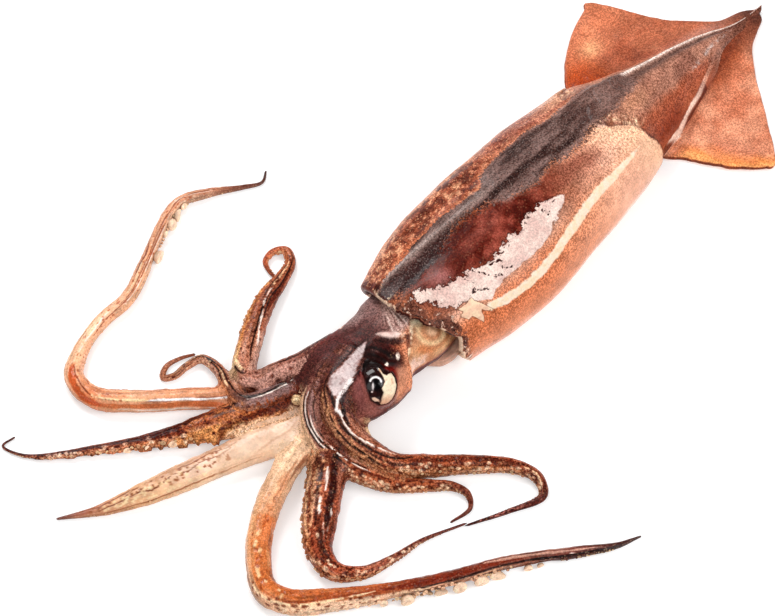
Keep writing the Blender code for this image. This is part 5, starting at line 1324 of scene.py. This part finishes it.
        specks=[((88, 34, 20), 0.42, 0.9, 70, 168, 80, 0.4, 0.9), ((250, 224, 192), 0.4, 0.8, 112, 172, 44, 0.6, 1.2)],
        spk=0.7, gold=0.45, mat=ARM_SKIN),
    "arm_7": dict(
        skin=[(0, (136, 92, 82)), (0.12, (130, 76, 60)), (0.2, (140, 84, 64)), (0.3, (150, 90, 66)), (0.4, (168, 94, 62)), (0.55, (160, 88, 58)),
              (0.7, (148, 80, 56)), (0.8, (104, 46, 36)), (0.9, (84, 34, 32)), (1, (76, 32, 30))],
        mouth=184, oral=[(0, (100, 56, 46)), (0.25, (150, 96, 70)), (0.4, (176, 116, 80)), (0.55, (196, 134, 96)), (0.7, (186, 124, 90)), (0.82, (120, 60, 46)), (1, (84, 38, 34))],
        strokes=[(INK, 0.85, 10, [(0.08, 40), (0.13, 52), (0.18, 70), (0.22, 78)]), (TAN, 0.7, 6, [(0.1, 112), (0.16, 122), (0.24, 128), (0.34, 124)]),
                 (INK, 0.75, 5, [(0.1, 124), (0.18, 134), (0.28, 138), (0.36, 136)]), (TAN, 0.6, 7, [(0.12, 142), (0.2, 149), (0.3, 151)]),
                 (INK, 0.9, 5, [(0.1, 80), (0.13, 94), (0.16, 100)]), (INK, 0.9, 6, [(0.18, 105), (0.24, 108), (0.3, 102), (0.35, 88), (0.42, 70)]), (HIGHLIGHT_WHITE, 0.9, 7, [(0.18, 91), (0.23, 95), (0.29, 88), (0.33, 74), (0.37, 62)]),
                 (INK, 0.6, 5, [(0.3, 118), (0.36, 114), (0.44, 108)]), (WINE, 0.7, 14, [(0.4, 92), (0.5, 84), (0.6, 80), (0.7, 84)]),
                 (CREAM, 0.8, 8, [(0.7, 100), (0.74, 96), (0.78, 110)]), (INK, 0.6, 6, [(0.71, 120), (0.75, 124), (0.8, 120)])],
        specks=[((214, 160, 120), 0.12, 0.36, 108, 168, 60, 0.35, 0.65), ((92, 36, 22), 0.28, 0.78, 70, 165, 80, 0.4, 0.9), ((252, 228, 198), 0.36, 0.78, 108, 168, 40, 0.7, 1.3),
                ((186, 122, 112), 0.8, 0.97, 50, 130, 20, 0.3, 0.5)],
        spk=0.9, gold=0.6, mat=ARM_SKIN),
    "arm_8": dict(
        skin=[(0, (176, 120, 100)), (0.3, (196, 140, 116)), (0.5, (184, 130, 104)), (0.8, (190, 132, 104)), (1, (136, 76, 60))],
        mouth=10, oral=[(0, (150, 100, 80)), (0.3, (190, 140, 108)), (0.6, (236, 200, 160)), (1, (230, 186, 146))],
        strokes=[(INK, 0.8, 8, [(0.3, 150), (0.5, 154), (0.7, 148), (0.95, 138)]), (PINK, 0.6, 9, [(0.3, 116), (0.5, 119), (0.7, 113)]),
                 (INK, 0.5, 6, [(0.1, 72), (0.25, 68), (0.4, 80)]), (CREAM, 0.8, 14, [(0.55, 78), (0.7, 66), (0.9, 40)]),
                 (CREAM, 0.9, 8, [(0.0, 112), (0.08, 98), (0.2, 86), (0.3, 92), (0.42, 108), (0.52, 100), (0.64, 92), (0.78, 80), (0.9, 60)])],
        specks=[(WINE, 0.1, 0.9, 90, 170, 30, 0.3, 0.6)],
        spk=0.5, gold=0.3, mat=ARM_SKIN),
    "tentacle_1": dict(
        skin=[(0, (110, 60, 44)), (0.1, (150, 92, 68)), (0.14, (240, 170, 130)), (0.3, (246, 184, 146)), (0.36, (226, 142, 98)), (0.42, (250, 188, 148)),
              (0.5, (255, 212, 176)), (0.6, (238, 180, 144)), (0.7, (228, 166, 128)), (0.8, (226, 166, 132)), (0.88, (196, 134, 104)), (0.94, (120, 70, 56)), (1, (70, 32, 28))],
        mouth=180, oral=[(0, (220, 150, 112)), (0.4, (250, 190, 156)), (0.6, (238, 182, 144)), (0.8, (234, 192, 162)), (0.9, (150, 96, 74)), (1, (80, 40, 34))],
        strokes=[(RUST, 0.8, 16, [(0.14, 30), (0.24, 28), (0.32, 30), (0.38, 30)]), ((150, 70, 40), 0.7, 8, [(0.13, 63), (0.2, 62), (0.28, 62)]),
                 # the pure white (255, 252, 250) stroke is a painted highlight line
                 ((255, 252, 250), 1.0, 6, [(0.13, 62), (0.17, 61), (0.22, 61), (0.275, 60)]), (CREAM, 0.9, 4, [(0.27, 62), (0.3, 64), (0.35, 72)]), (HIGHLIGHT_WHITE, 0.8, 8, [(0.14, 6), (0.24, 4), (0.32, 12)]),
                 ((180, 84, 44), 0.7, 4, [(0.14, 124), (0.2, 128), (0.28, 118)]), ((250, 226, 176), 0.8, 5, [(0.27, 63), (0.31, 66), (0.35, 74)]),
                 ((206, 94, 46), 0.85, 20, [(0.34, 24), (0.38, 44), (0.42, 78), (0.44, 96)]), ((140, 60, 32), 0.8, 4, [(0.36, 64), (0.4, 94), (0.43, 104)]),
                 (HIGHLIGHT_WHITE, 0.8, 9, [(0.46, 100), (0.5, 112), (0.56, 104)]), ((150, 84, 56), 0.8, 4, [(0.45, 50), (0.5, 58), (0.55, 50), (0.6, 40)]), ((130, 66, 40), 0.8, 5, [(0.12, 148), (0.2, 146), (0.28, 142), (0.36, 140)]),
                 ((168, 92, 62), 0.8, 4, [(0.5, 140), (0.56, 130), (0.62, 118), (0.68, 124), (0.74, 116), (0.8, 132)]),
                 ((150, 82, 56), 0.7, 4, [(0.58, 112), (0.64, 104), (0.7, 104), (0.76, 92)]), (HIGHLIGHT_WHITE, 0.7, 5, [(0.58, 128), (0.66, 132), (0.74, 128), (0.8, 124)]),
                 (CREAM, 0.7, 8, [(0.6, 84), (0.64, 92), (0.68, 74)]), ((120, 56, 36), 0.8, 7, [(0.64, 62), (0.69, 72), (0.72, 58)]),
                 ((130, 66, 44), 0.7, 5, [(0.74, 96), (0.79, 104), (0.84, 92), (0.9, 96)]), (HIGHLIGHT_WHITE, 0.6, 6, [(0.8, 84), (0.86, 104), (0.89, 112)])],
        specks=[((252, 226, 184), 0.28, 0.37, 62, 96, 16, 0.4, 0.8), ((180, 96, 60), 0.3, 0.9, 40, 150, 90, 0.3, 0.55), ((252, 222, 196), 0.5, 0.9, 60, 170, 40, 0.35, 0.7)],
        spk=0.5, gold=0.35, mat=TENTACLE_SKIN),
    "tentacle_2": dict(
        skin=[(0, (200, 150, 120)), (0.07, (240, 196, 158)), (0.15, (248, 204, 164)), (0.22, (222, 148, 100)), (0.3, (212, 126, 72)), (0.4, (206, 118, 64)),
              (0.5, (186, 98, 52)), (0.6, (150, 66, 34)), (0.7, (134, 56, 34)), (0.8, (150, 84, 66)), (0.9, (120, 66, 58)), (1, (60, 26, 24))],
        mouth=174, oral=[(0, (220, 176, 144)), (0.1, (250, 206, 168)), (0.25, (240, 176, 128)), (0.36, (238, 180, 140)), (0.5, (246, 206, 176)), (0.65, (230, 176, 144)),
                         (0.8, (170, 110, 86)), (0.84, (96, 44, 34)), (1, (60, 26, 22))],
        strokes=[((120, 50, 20), 0.9, 8, [(0.07, 24), (0.1, 26), (0.16, 30)]), ((232, 140, 86), 0.7, 20, [(0.14, 56), (0.22, 60), (0.3, 54)]),
                 ((190, 96, 44), 0.7, 5, [(0.12, 50), (0.2, 62), (0.28, 74)]), ((150, 66, 30), 0.8, 8, [(0.4, 122), (0.46, 112), (0.52, 102), (0.57, 86)]),
                 (CREAM, 0.95, 6, [(0.34, 146), (0.39, 134), (0.45, 123), (0.5, 116), (0.55, 98)]), ((120, 40, 18), 0.85, 16, [(0.56, 96), (0.64, 92), (0.72, 88), (0.8, 96)]),
                 (INK, 0.8, 8, [(0.61, 130), (0.7, 126), (0.78, 122), (0.86, 128)]), (PINK, 0.8, 10, [(0.73, 70), (0.8, 80), (0.87, 92), (0.93, 98)]),
                 (INK, 0.7, 6, [(0.72, 56), (0.78, 62), (0.84, 66)]), (INK, 0.85, 14, [(0.8, 118), (0.86, 140), (0.93, 134), (0.98, 110)]),
                 (HIGHLIGHT_WHITE, 0.8, 7, [(0.875, 116), (0.89, 128)]), ((206, 110, 60), 0.6, 10, [(0.4, 60), (0.5, 56), (0.6, 54)])],
        specks=[((250, 222, 178), 0.26, 0.40, 76, 104, 20, 0.8, 1.5), ((120, 50, 24), 0.34, 0.62, 112, 178, 60, 0.4, 0.8),
                ((252, 222, 188), 0.40, 0.64, 138, 176, 40, 0.8, 1.6), ((170, 84, 40), 0.2, 0.6, 50, 120, 60, 0.4, 0.9)],
        spk=0.8, gold=0.35, mat=TENTACLE_SKIN),
    "funnel": dict(skin=[(0, (238, 190, 166)), (1, (228, 172, 146))], mouth=0, oral=[(0, (238, 190, 166)), (1, (228, 172, 146))],
                   strokes=[((250, 220, 200), 0.6, 16, [(0, 120), (1, 120)]), ((170, 104, 80), 0.6, 8, [(0, 160), (1, 158)])],
                   specks=[], spk=0.3, gold=0.1, mat=PALE_FLESH),
}


def table_colour(stops, u):
    us = [s for s, _ in stops]
    return np.stack([np.interp(u, us, [linear(*c)[k] for _, c in stops]) for k in range(3)], axis=1)


def turn(a, b):
    """Smallest angle between directions a and b, in degrees."""
    return np.abs((a - b + 180) % 360 - 180)


def build_limb(name, tube, number):
    spec = SKINS[name]
    cols = 88 if tube.half.max() > 4.4 else 64
    rows = int(tube.length / 0.65)
    s = np.linspace(0, tube.length, rows)
    ang = 2 * np.pi * np.arange(cols) / cols
    Sx, A = np.meshgrid(s, ang, indexing="ij")
    Sx, A = Sx.ravel(), A.ravel()
    D = np.degrees(A)
    U = Sx / tube.length
    c, t, side, up, half = tube.at(Sx)
    tall = half * tube.flat
    size = half / 5.0
    lane = np.stack([Sx, np.cos(A) * 5, np.sin(A) * 5], 1) + number * 37.0
    r = np.ones(len(Sx))
    mouth = spec["mouth"]
    r += 0.035 * np.cos(np.radians(3 * (D - 90)))
    for off in (-34, 34):                                    # thin web along each side of the suckers
        r += 0.08 * bump(turn(D, mouth + off), 0, 11) * step(0.1, 0.3, U)
    soft = noise(lane * (0.5, 1, 1), 1.7, 105, 2)
    if name.startswith("tentacle"):
        a0, a1 = (0.565, 0.85) if name == "tentacle_2" else (0.68, 0.84)
        r -= (0.42 if name == "tentacle_2" else 0.25) * bump(turn(D, 190), 0, 42) * step(a0 - 0.02, a0 + 0.01, U) * step(a1 + 0.02, a1 - 0.01, U)
    if name == "arm_3":
        flap = noise(np.stack([Sx, Sx * 0, Sx * 0], 1), 2.6, 108, 2)
        r += 0.6 * step(-0.05, 0.4, flap) * bump(turn(D, 0), 0, 20) * step(0.2, 0.28, U) * step(0.97, 0.85, U)
    marks = []                                               # strokes: how much, and up or down
    for k, (tone, strength, wide, path) in enumerate(spec["strokes"]):
        us, ds = zip(*path)
        mid = np.interp(U, us, ds)
        inner = np.minimum(U - us[0], us[-1] - U) / (0.16 * (us[-1] - us[0]))
        wide = wide * np.sqrt(np.clip(inner, 0, 1)) * (1 + 0.35 * noise(np.stack([Sx, Sx * 0, Sx * 0], 1) + k * 11 + number, 7, 101, 2))
        sway = noise(np.stack([Sx, Sx * 0, Sx * 0], 1) + k * 17 + number, 9, 106, 2) * 4
        thin = 0.72 if tone == HIGHLIGHT_WHITE else 1.0
        on = step(1.25, 0.75, turn(D + sway, mid) / np.maximum(wide * thin, 0.3) + soft * 0.4) * (inner > 0)
        if spec["strokes"][k][2] >= 20:
            on = on * step(0.0, 0.8, inner)
        if tone == HIGHLIGHT_WHITE and strength < 1:
            on = on * step(-0.45, 0.05, noise(lane * (0.7, 1, 1), 3.0, 107 + k, 2) + 0.15)
        marks.append((on * strength, tone))
        r += (0.075 if sum(tone) > 420 else -0.075) * strength * on / np.maximum(size, 0.7)
    rng = np.random.default_rng(300 + number)
    dots = []                                                # specks: raised grains and pits
    for tone, u0, u1, d0, d1, count, small, large in spec["specks"]:
        place = np.stack([rng.uniform(u0, u1, count) * tube.length, rng.uniform(d0, d1, count)], 1)
        pale = sum(tone) > 560
        radius = rng.uniform(small, large, count) * (0.7 if pale else 1.0)
        rate = rng.uniform(0.55, 1.0, count)
        amount = np.zeros(len(Sx))
        for (at, deg), rad, much in zip(place, radius, rate):
            pick = np.abs(Sx - at) < rad * 1.8
            rr = np.interp(at, tube.arc, tube.half)
            d = np.hypot((Sx[pick] - at) / rng.uniform(0.9, 1.5), np.radians(turn(D[pick], deg)) * rr) + soft[pick] * 0.3
            amount[pick] = np.maximum(amount[pick], step(1.2, 0.6, d / rad) * (much if pale else 1))
        dots.append((amount, tone))
        r += (0.055 if sum(tone) > 420 else -0.05) * amount / np.maximum(size, 0.7)
    r += noise(lane, 6.5, 102, 2) * 0.05 + noise(lane * (1, 0.8, 0.8), 2.6, 103, 2) * 0.045
    fold = noise(lane * (2.2, 0.5, 0.5), 2.6, 104, 2)
    r += fold * 0.03
    nrm0 = side * (np.cos(A) / half)[:, None] + up * (np.sin(A) / tall)[:, None]
    nrm0 /= np.linalg.norm(nrm0, axis=1)[:, None]
    pts = c + side * (half * r * np.cos(A))[:, None] + up * (tall * r * np.sin(A))[:, None]
    wart = np.linalg.norm(pts - WART, axis=1)
    pts = pts + nrm0 * (1.5 * np.exp(-(wart / 1.7) ** 2) * (name == "arm_3"))[:, None]
    pts[:, 2] = np.clip(pts[:, 2], 0.05, None)
    if name != "funnel":
        pts = melt(pts, nrm0, name, near=lambda q: (q[:, 0] > -92) & (np.abs(q[:, 1] + 18) < 46))
    # ---------------- colour
    full = lambda tone: linear(*tone)[None, :].repeat(len(U), 0)
    n1, n2 = noise(lane, 7, 111, 3), noise(lane * (0.5, 1, 1), 2.2, 112, 2)
    col = table_colour(spec["skin"], np.clip(U + n1 * 0.02, 0, 1))
    oral = table_colour(spec["oral"], U)
    gap = turn(D + n2 * 7, mouth)
    mouthy = step(58, 44, gap)
    col = mix(col, oral, mouthy)
    under = step(40, 14, turn(D, 270))
    col = mix(col, (col * 0.45 + oral * 0.55), under)
    # long fibres, dark and light
    fibre = noise(lane * (0.13, 1, 1), 1.5, 140, 2)
    rough = spec["spk"]
    col = col * (1 - 0.55 * rough * step(0.05, 0.5, fibre))[:, None]
    col = mix(col, full(PINK if name.startswith("arm") else CREAM), 0.42 * rough * step(0.1, 0.55, -fibre))
    for on, tone in marks:
        col = mix(col, full(tone), np.clip(on, 0, 1))
    for amount, tone in dots:
        col = mix(col, full(tone), amount * 0.85)
    if name in ("arm_3", "arm_4", "tentacle_2"):
        web = inside(PALE_WEB, pts[:, 0], pts[:, 1]) + noise(pts, 2.2, 86, 3) * 1.1
        web = np.where(np.abs(turn(D, 270)) < 60, -3, web)
        flesh = mix(full((224, 184, 152)), full((242, 208, 178)), step(-0.3, 0.4, n1))
        crumb = noise(pts, 1.1, 87, 2)
        flesh = mix(flesh, full((188, 132, 90)), step(0.15, 0.5, crumb) * step(6, 1.5, web) * 0.7)
        col = mix(col, full((96, 40, 20)), bump(web, -1.6, 1.0) * 0.7 * (name == "arm_3"))
        col = mix(col, flesh, step(-0.6, 0.6, web) * (0.9 if name == "arm_3" else 0.5))
    if name == "arm_3":
        col = mix(col, full((92, 48, 32)), bump(wart, 2.5, 0.5) * 0.8)
        col = mix(col, full((230, 198, 158)), step(2.3, 1.8, wart))
        col = mix(col, full((246, 226, 190)), step(1.0, 0.5, wart))
    shade = 1 - 0.55 * bump(turn(D, 270), 0, 66) * step(0.02, 0.1, U)
    col = col * shade[:, None]
    if name in ("arm_7", "arm_6", "arm_2"):
        flat = inside(BASE_SHINE, pts[:, 0], pts[:, 1])
        shiny = step(-0.3, 0.35, flat + noise(pts, 1.6, 84, 2) * 0.6) * (pts[:, 2] > 15)
        rim = bump(flat, -1.1, 0.6) * (pts[:, 2] > 16)
        grain = noise(pts, 1.6, 85, 2)
        col = mix(col, full((50, 20, 18)), rim * 0.8)
        col = mix(col, mix(full((226, 210, 208)), full((186, 160, 158)), step(0.1, 0.5, grain)), shiny * 0.95)
        # a thin painted highlight line continues the shine
        shine_line_dist = side_of(SHINE_LINE, pts[:, 0], pts[:, 1]) + (pts[:, 2] < 12) * 9
        col = mix(col, full((250, 240, 236)), step(1.0, 0.5, shine_line_dist + grain * 0.4))
        shiny = np.maximum(shiny, step(1.0, 0.5, shine_line_dist))
    else:
        shiny = np.zeros(len(U))
    spk = np.full(len(U), spec["spk"]) * (1 - 0.5 * under) * (1 - 0.8 * shiny)
    # where the near-white painted highlight lines lie: less speckle and more gloss there
    highlight_lines = np.zeros(len(U))
    for on, tone in marks:
        highlight_lines = np.maximum(highlight_lines, on) if tone == HIGHLIGHT_WHITE else highlight_lines
    spk = spk * (1 - 0.7 * highlight_lines)
    gold = np.full(len(U), spec["gold"]) * (0.6 + 0.4 * mouthy) * step(0.1, 0.2, U) * (1 - highlight_lines)
    wet = np.clip(0.4 + 0.4 * step(0.0, 0.5, n1) + shiny * 0.4 + highlight_lines * 0.4, 0, 1)
    n = rows * cols
    tip = tube.p[-1] + tube.t[-1] * (1.7 if name in ("arm_5", "arm_7") else 0.55)
    tip[2] = max(tip[2], 0.3)
    points = np.vstack([pts, [c[0]], [tip]])
    faces = grid_faces(rows, cols)
    ends = np.vstack([fan(np.arange(cols)[::-1], n), fan((rows - 1) * cols + np.arange(cols), n + 1)])
    add = lambda v: np.concatenate([v, [v[0], v[-1]]])
    attrs = {"Col": np.vstack([col, col[:1], col[-1:]]), "spk": add(spk), "gold": add(gold), "wet": add(wet)}
    return make_mesh(name + "_flesh", points, [faces, ends], attrs, spec["mat"])


# ------------------------------------------------------------------ suckers
# limb: (from, to, degrees round, spread, radius at start, radius at end, spacing)
SUCKERS = {
    "arm_1": [(0.45, 0.80, 10, 26, 0.7, 0.55, 1.9), (0.80, 0.92, 8, 18, 1.0, 0.8, 1.5), (0.92, 1.0, 10, 14, 0.5, 0.3, 1.5)],
    "arm_2": [(0.60, 0.68, 40, 30, 0.75, 0.6, 1.5), (0.76, 0.9, 5, 18, 0.35, 0.25, 2.6)],
    "arm_3": [(0.40, 0.50, 10, 16, 0.9, 1.1, 1.8), (0.50, 0.80, 14, 20, 1.05, 0.5, 1.6), (0.80, 0.93, 12, 16, 0.45, 0.25, 1.5)],
    "arm_4": [(0.55, 0.90, 2, 12, 0.5, 0.3, 1.9)],
    "arm_5": [(0.16, 0.55, 184, 14, 0.85, 1.0, 1.8), (0.55, 0.92, 172, 22, 0.85, 0.3, 1.6)],
    "arm_6": [(0.44, 0.88, 182, 24, 0.9, 0.4, 1.6)],
    "arm_7": [(0.28, 0.76, 182, 24, 0.9, 0.65, 1.7), (0.76, 0.94, 184, 14, 0.4, 0.25, 1.7)],
    "tentacle_1": [(0.44, 0.66, 182, 20, 0.5, 0.5, 2.6), (0.72, 0.92, 180, 24, 0.8, 0.35, 1.5)],
    "tentacle_2": [(0.40, 0.52, 190, 10, 0.7, 0.9, 2.4), (0.52, 0.64, 186, 18, 1.0, 1.2, 1.6), (0.64, 0.78, 160, 12, 0.9, 0.9, 2.0),
                   (0.86, 0.95, 182, 16, 0.8, 0.4, 1.5)],
}
# single large suckers: limb, place along, degrees round, radius
LARGE = [("tentacle_2", 0.56, 196, 2.0), ("tentacle_2", 0.598, 200, 3.2), ("tentacle_2", 0.655, 198, 2.8), ("tentacle_2", 0.685, 190, 3.0),
         ("tentacle_2", 0.722, 192, 3.4), ("tentacle_2", 0.75, 190, 3.2), ("tentacle_2", 0.805, 194, 2.0), ("tentacle_2", 0.825, 190, 1.5),
         ("tentacle_1", 0.70, 186, 3.3), ("tentacle_1", 0.745, 160, 1.5), ("tentacle_1", 0.772, 188, 2.9), ("tentacle_1", 0.795, 190, 2.9),
         ("tentacle_1", 0.82, 182, 1.8), ("arm_3", 0.60, 2, 1.6), ("arm_3", 0.545, 6, 1.3), ("arm_3", 0.475, 4, 1.8), ("arm_3", 0.465, 358, 1.5)]


def build_suckers(names, label):
    seg = 12
    f = 2 * np.pi * np.arange(seg) / seg
    # profile from the buried foot, up the outside, over the rim and into a shallow cup
    prof = [(0.66, -0.6), (0.92, -0.12), (1.0, 0.2), (0.9, 0.44), (0.68, 0.54), (0.42, 0.5), (0.2, 0.42)]
    # brightness along the profile: painted shade at the foot and in the cup, a painted highlight over the rim
    tone = [0.55, 0.7, 0.88, 1.06, 1.1, 1.0, 0.86]
    points, colours, quads, tris, start = [], [], [], [], 0
    rng = np.random.default_rng(11)
    rows = len(prof)

    def add(name, u, deg, size, lift=0.12):
        nonlocal start
        tube = TUBES[name]
        c, t, side, up, half = (v[0] for v in tube.at(np.array([u * tube.length])))
        half, phi = float(half), math.radians(deg)
        tall = half * tube.flat
        foot = c + side * (half * math.cos(phi)) + up * (tall * math.sin(phi))
        n = side * (math.cos(phi) / half) + up * (math.sin(phi) / tall)
        n /= np.linalg.norm(n)
        n = n + rng.normal(0, 0.16, 3)
        n[2] += 0.2
        n /= np.linalg.norm(n)
        e1 = t - n * (t @ n)
        e1 /= np.linalg.norm(e1)
        e2 = np.cross(n, e1)
        foot = foot + n * size * lift
        foot[2] = max(foot[2], size * 0.62 * math.sqrt(max(1 - n[2] ** 2, 0)) + 0.1)
        squash, phase, lump = rng.uniform(0.72, 1.0), rng.uniform(0, 6, 2), rng.uniform(0.05, 0.13)
        own = table_colour(SKINS[name]["oral"], np.array([u]))[0]
        big = size > 1.2 and lift > 0.2
        local = linear(250, 214, 184) if big else linear(246, 208, 162) * rng.uniform(0.5, 0.95)
        local = local + (own - local) * (rng.uniform(0.0, 0.15) if big else rng.choice([0.2, 0.6, 0.85, 0.95]))
        cup = 1.0 if size < 1.6 else 0.8
        for (pr, ph), k in zip(prof, tone):
            wob = 1 + lump * np.sin(2 * f + phase[0]) + lump * 0.7 * np.sin(3 * f + phase[1])
            rise = ph * cup * (1 + 0.25 * np.sin(f + phase[1]) * (ph > 0.3))
            points.append(foot + e1 * (np.cos(f) * pr * size * wob)[:, None] + e2 * (np.sin(f) * pr * size * squash * wob)[:, None]
                          + n * (rise * size)[:, None])
            colours.append(local * (k * (1 + 0.12 * np.sin(2 * f + phase[0])))[:, None])
        points.append((foot + n * size * 0.36 * cup)[None])
        colours.append((local * 0.72)[None])
        points.append((foot - n * size * 0.6)[None])
        colours.append((local * 0.4)[None])
        quads.append(grid_faces(rows, seg, offset=start))
        tris.append(fan(start + (rows - 1) * seg + np.arange(seg), start + rows * seg))
        tris.append(fan((start + np.arange(seg))[::-1], start + rows * seg + 1))
        start += rows * seg + 2

    for name in names:
        tube = TUBES[name]
        for u0, u1, deg, spread, r0, r1, space in SUCKERS[name]:
            at, row = u0 * tube.length, 0
            while at < u1 * tube.length:
                k = (at / tube.length - u0) / (u1 - u0)
                size = (r0 + (r1 - r0) * k) * rng.uniform(0.55, 1.2)
                if rng.uniform() > 0.12:
                    add(name, at / tube.length, deg + (1 if row % 2 else -1) * spread * rng.uniform(0.1, 1.2), size)
                at += max(size, 0.3) * space * rng.uniform(0.75, 1.3)
                row += 1
        for limb, u, deg, size in LARGE:
            if limb == name:
                add(name, u, deg, size, 0.28)
    points = np.vstack(points)
    points[:, 2] = np.clip(points[:, 2], 0.03, None)
    n = len(points)
    attrs = {"Col": np.vstack(colours), "spk": np.full(n, 0.7), "gold": np.full(n, 0.0), "wet": np.full(n, 0.5)}
    return make_mesh(label, points, [np.vstack(quads), np.vstack(tris)], attrs, PALE_FLESH)


# ------------------------------------------------------------------ the squid
body = build_mantle()
fin_near = build_fin("fin_left_plate", LEFT_FIN, True)
fin_far = build_fin("fin_right_plate", RIGHT_FIN, False)
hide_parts("mantle")
for piece in (body, fin_near, fin_far):
    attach(piece, "root")

skull = build_head()
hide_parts("head")
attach(skull, "root")
for name in ("eye_left", "eye_right"):
    ball = build_eye(name)
    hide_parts(name)
    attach(ball, "root")

TUBES["funnel"] = Tube(FUNNEL)
for number, (name, tube) in enumerate(TUBES.items()):
    flesh = build_limb(name, tube, number)
    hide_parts(name)
    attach(flesh, "root")

for label, names in (("arm_suckers", [n for n in SUCKERS if n.startswith("arm")]),
                     ("tentacle_suckers", [n for n in SUCKERS if n.startswith("tent")])):
    cups = build_suckers(names, label)
    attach(cups, "root")


# ------------------------------------------------------------------ stage
def area_light(name, place, target, size, power, colour=(1, 1, 1), size_y=None):
    lamp = bpy.data.lights.new(name, "AREA")
    lamp.energy, lamp.color = power, colour
    lamp.shape, lamp.size, lamp.size_y = "RECTANGLE", size, size_y or size
    obj = bpy.data.objects.new(name, lamp)
    bpy.context.scene.collection.objects.link(obj)
    obj.location = place
    d = np.array(target, float) - np.array(place, float)
    d /= np.linalg.norm(d)
    obj.rotation_euler = (math.acos(-d[2]), 0.0, math.atan2(d[1], d[0]) - math.pi / 2)
    return obj


RIGHT = np.array((0.674, -0.738, 0.0))
BACK = np.array((0.738, 0.674, 0.0))
UP = np.array((0.0, 0.0, 1.0))
CENTRE = np.array((-0.02, 0.01, 0.0))
area_light("key", tuple(CENTRE - RIGHT * 0.45 + BACK * 0.75 + UP * 0.95), tuple(CENTRE), 0.7, 11.5, size_y=0.45)
area_light("fill", tuple(CENTRE + RIGHT * 0.8 - BACK * 0.35 + UP * 1.0), tuple(CENTRE), 0.9, 9.5)
area_light("front", tuple(CENTRE - RIGHT * 0.5 - BACK * 0.8 + UP * 1.0), tuple(CENTRE), 0.9, 6.0)
area_light("glint", (0.40, -0.78, 0.55), tuple(CENTRE), 0.26, 1.6, size_y=0.14)

mesh = bpy.data.meshes.new("floor")
mesh.from_pydata([(-4, -4, 0), (4, -4, 0), (4, 4, 0), (-4, 4, 0)], [], [(0, 1, 2, 3)])
floor = bpy.data.objects.new("floor", mesh)
bpy.context.scene.collection.objects.link(floor)
paper = bpy.data.materials.new("paper")
paper.use_nodes = True
paper.node_tree.nodes["Principled BSDF"].inputs["Base Color"].default_value = (0.82, 0.82, 0.82, 1)
paper.node_tree.nodes["Principled BSDF"].inputs["Emission Color"].default_value = (1, 1, 1, 1)
paper.node_tree.nodes["Principled BSDF"].inputs["Emission Strength"].default_value = 0.33
paper.node_tree.nodes["Principled BSDF"].inputs["Roughness"].default_value = 0.9
paper.node_tree.nodes["Principled BSDF"].inputs["Specular IOR Level"].default_value = 0.1
floor.data.materials.append(paper)

world = bpy.data.worlds.new("world")
world.use_nodes = True
world.node_tree.nodes["Background"].inputs[0].default_value = (1, 1, 1, 1)
world.node_tree.nodes["Background"].inputs[1].default_value = 0.14
bpy.context.scene.world = world
bpy.context.scene.view_settings.view_transform = "Standard"
bpy.context.scene.view_settings.look = "None"
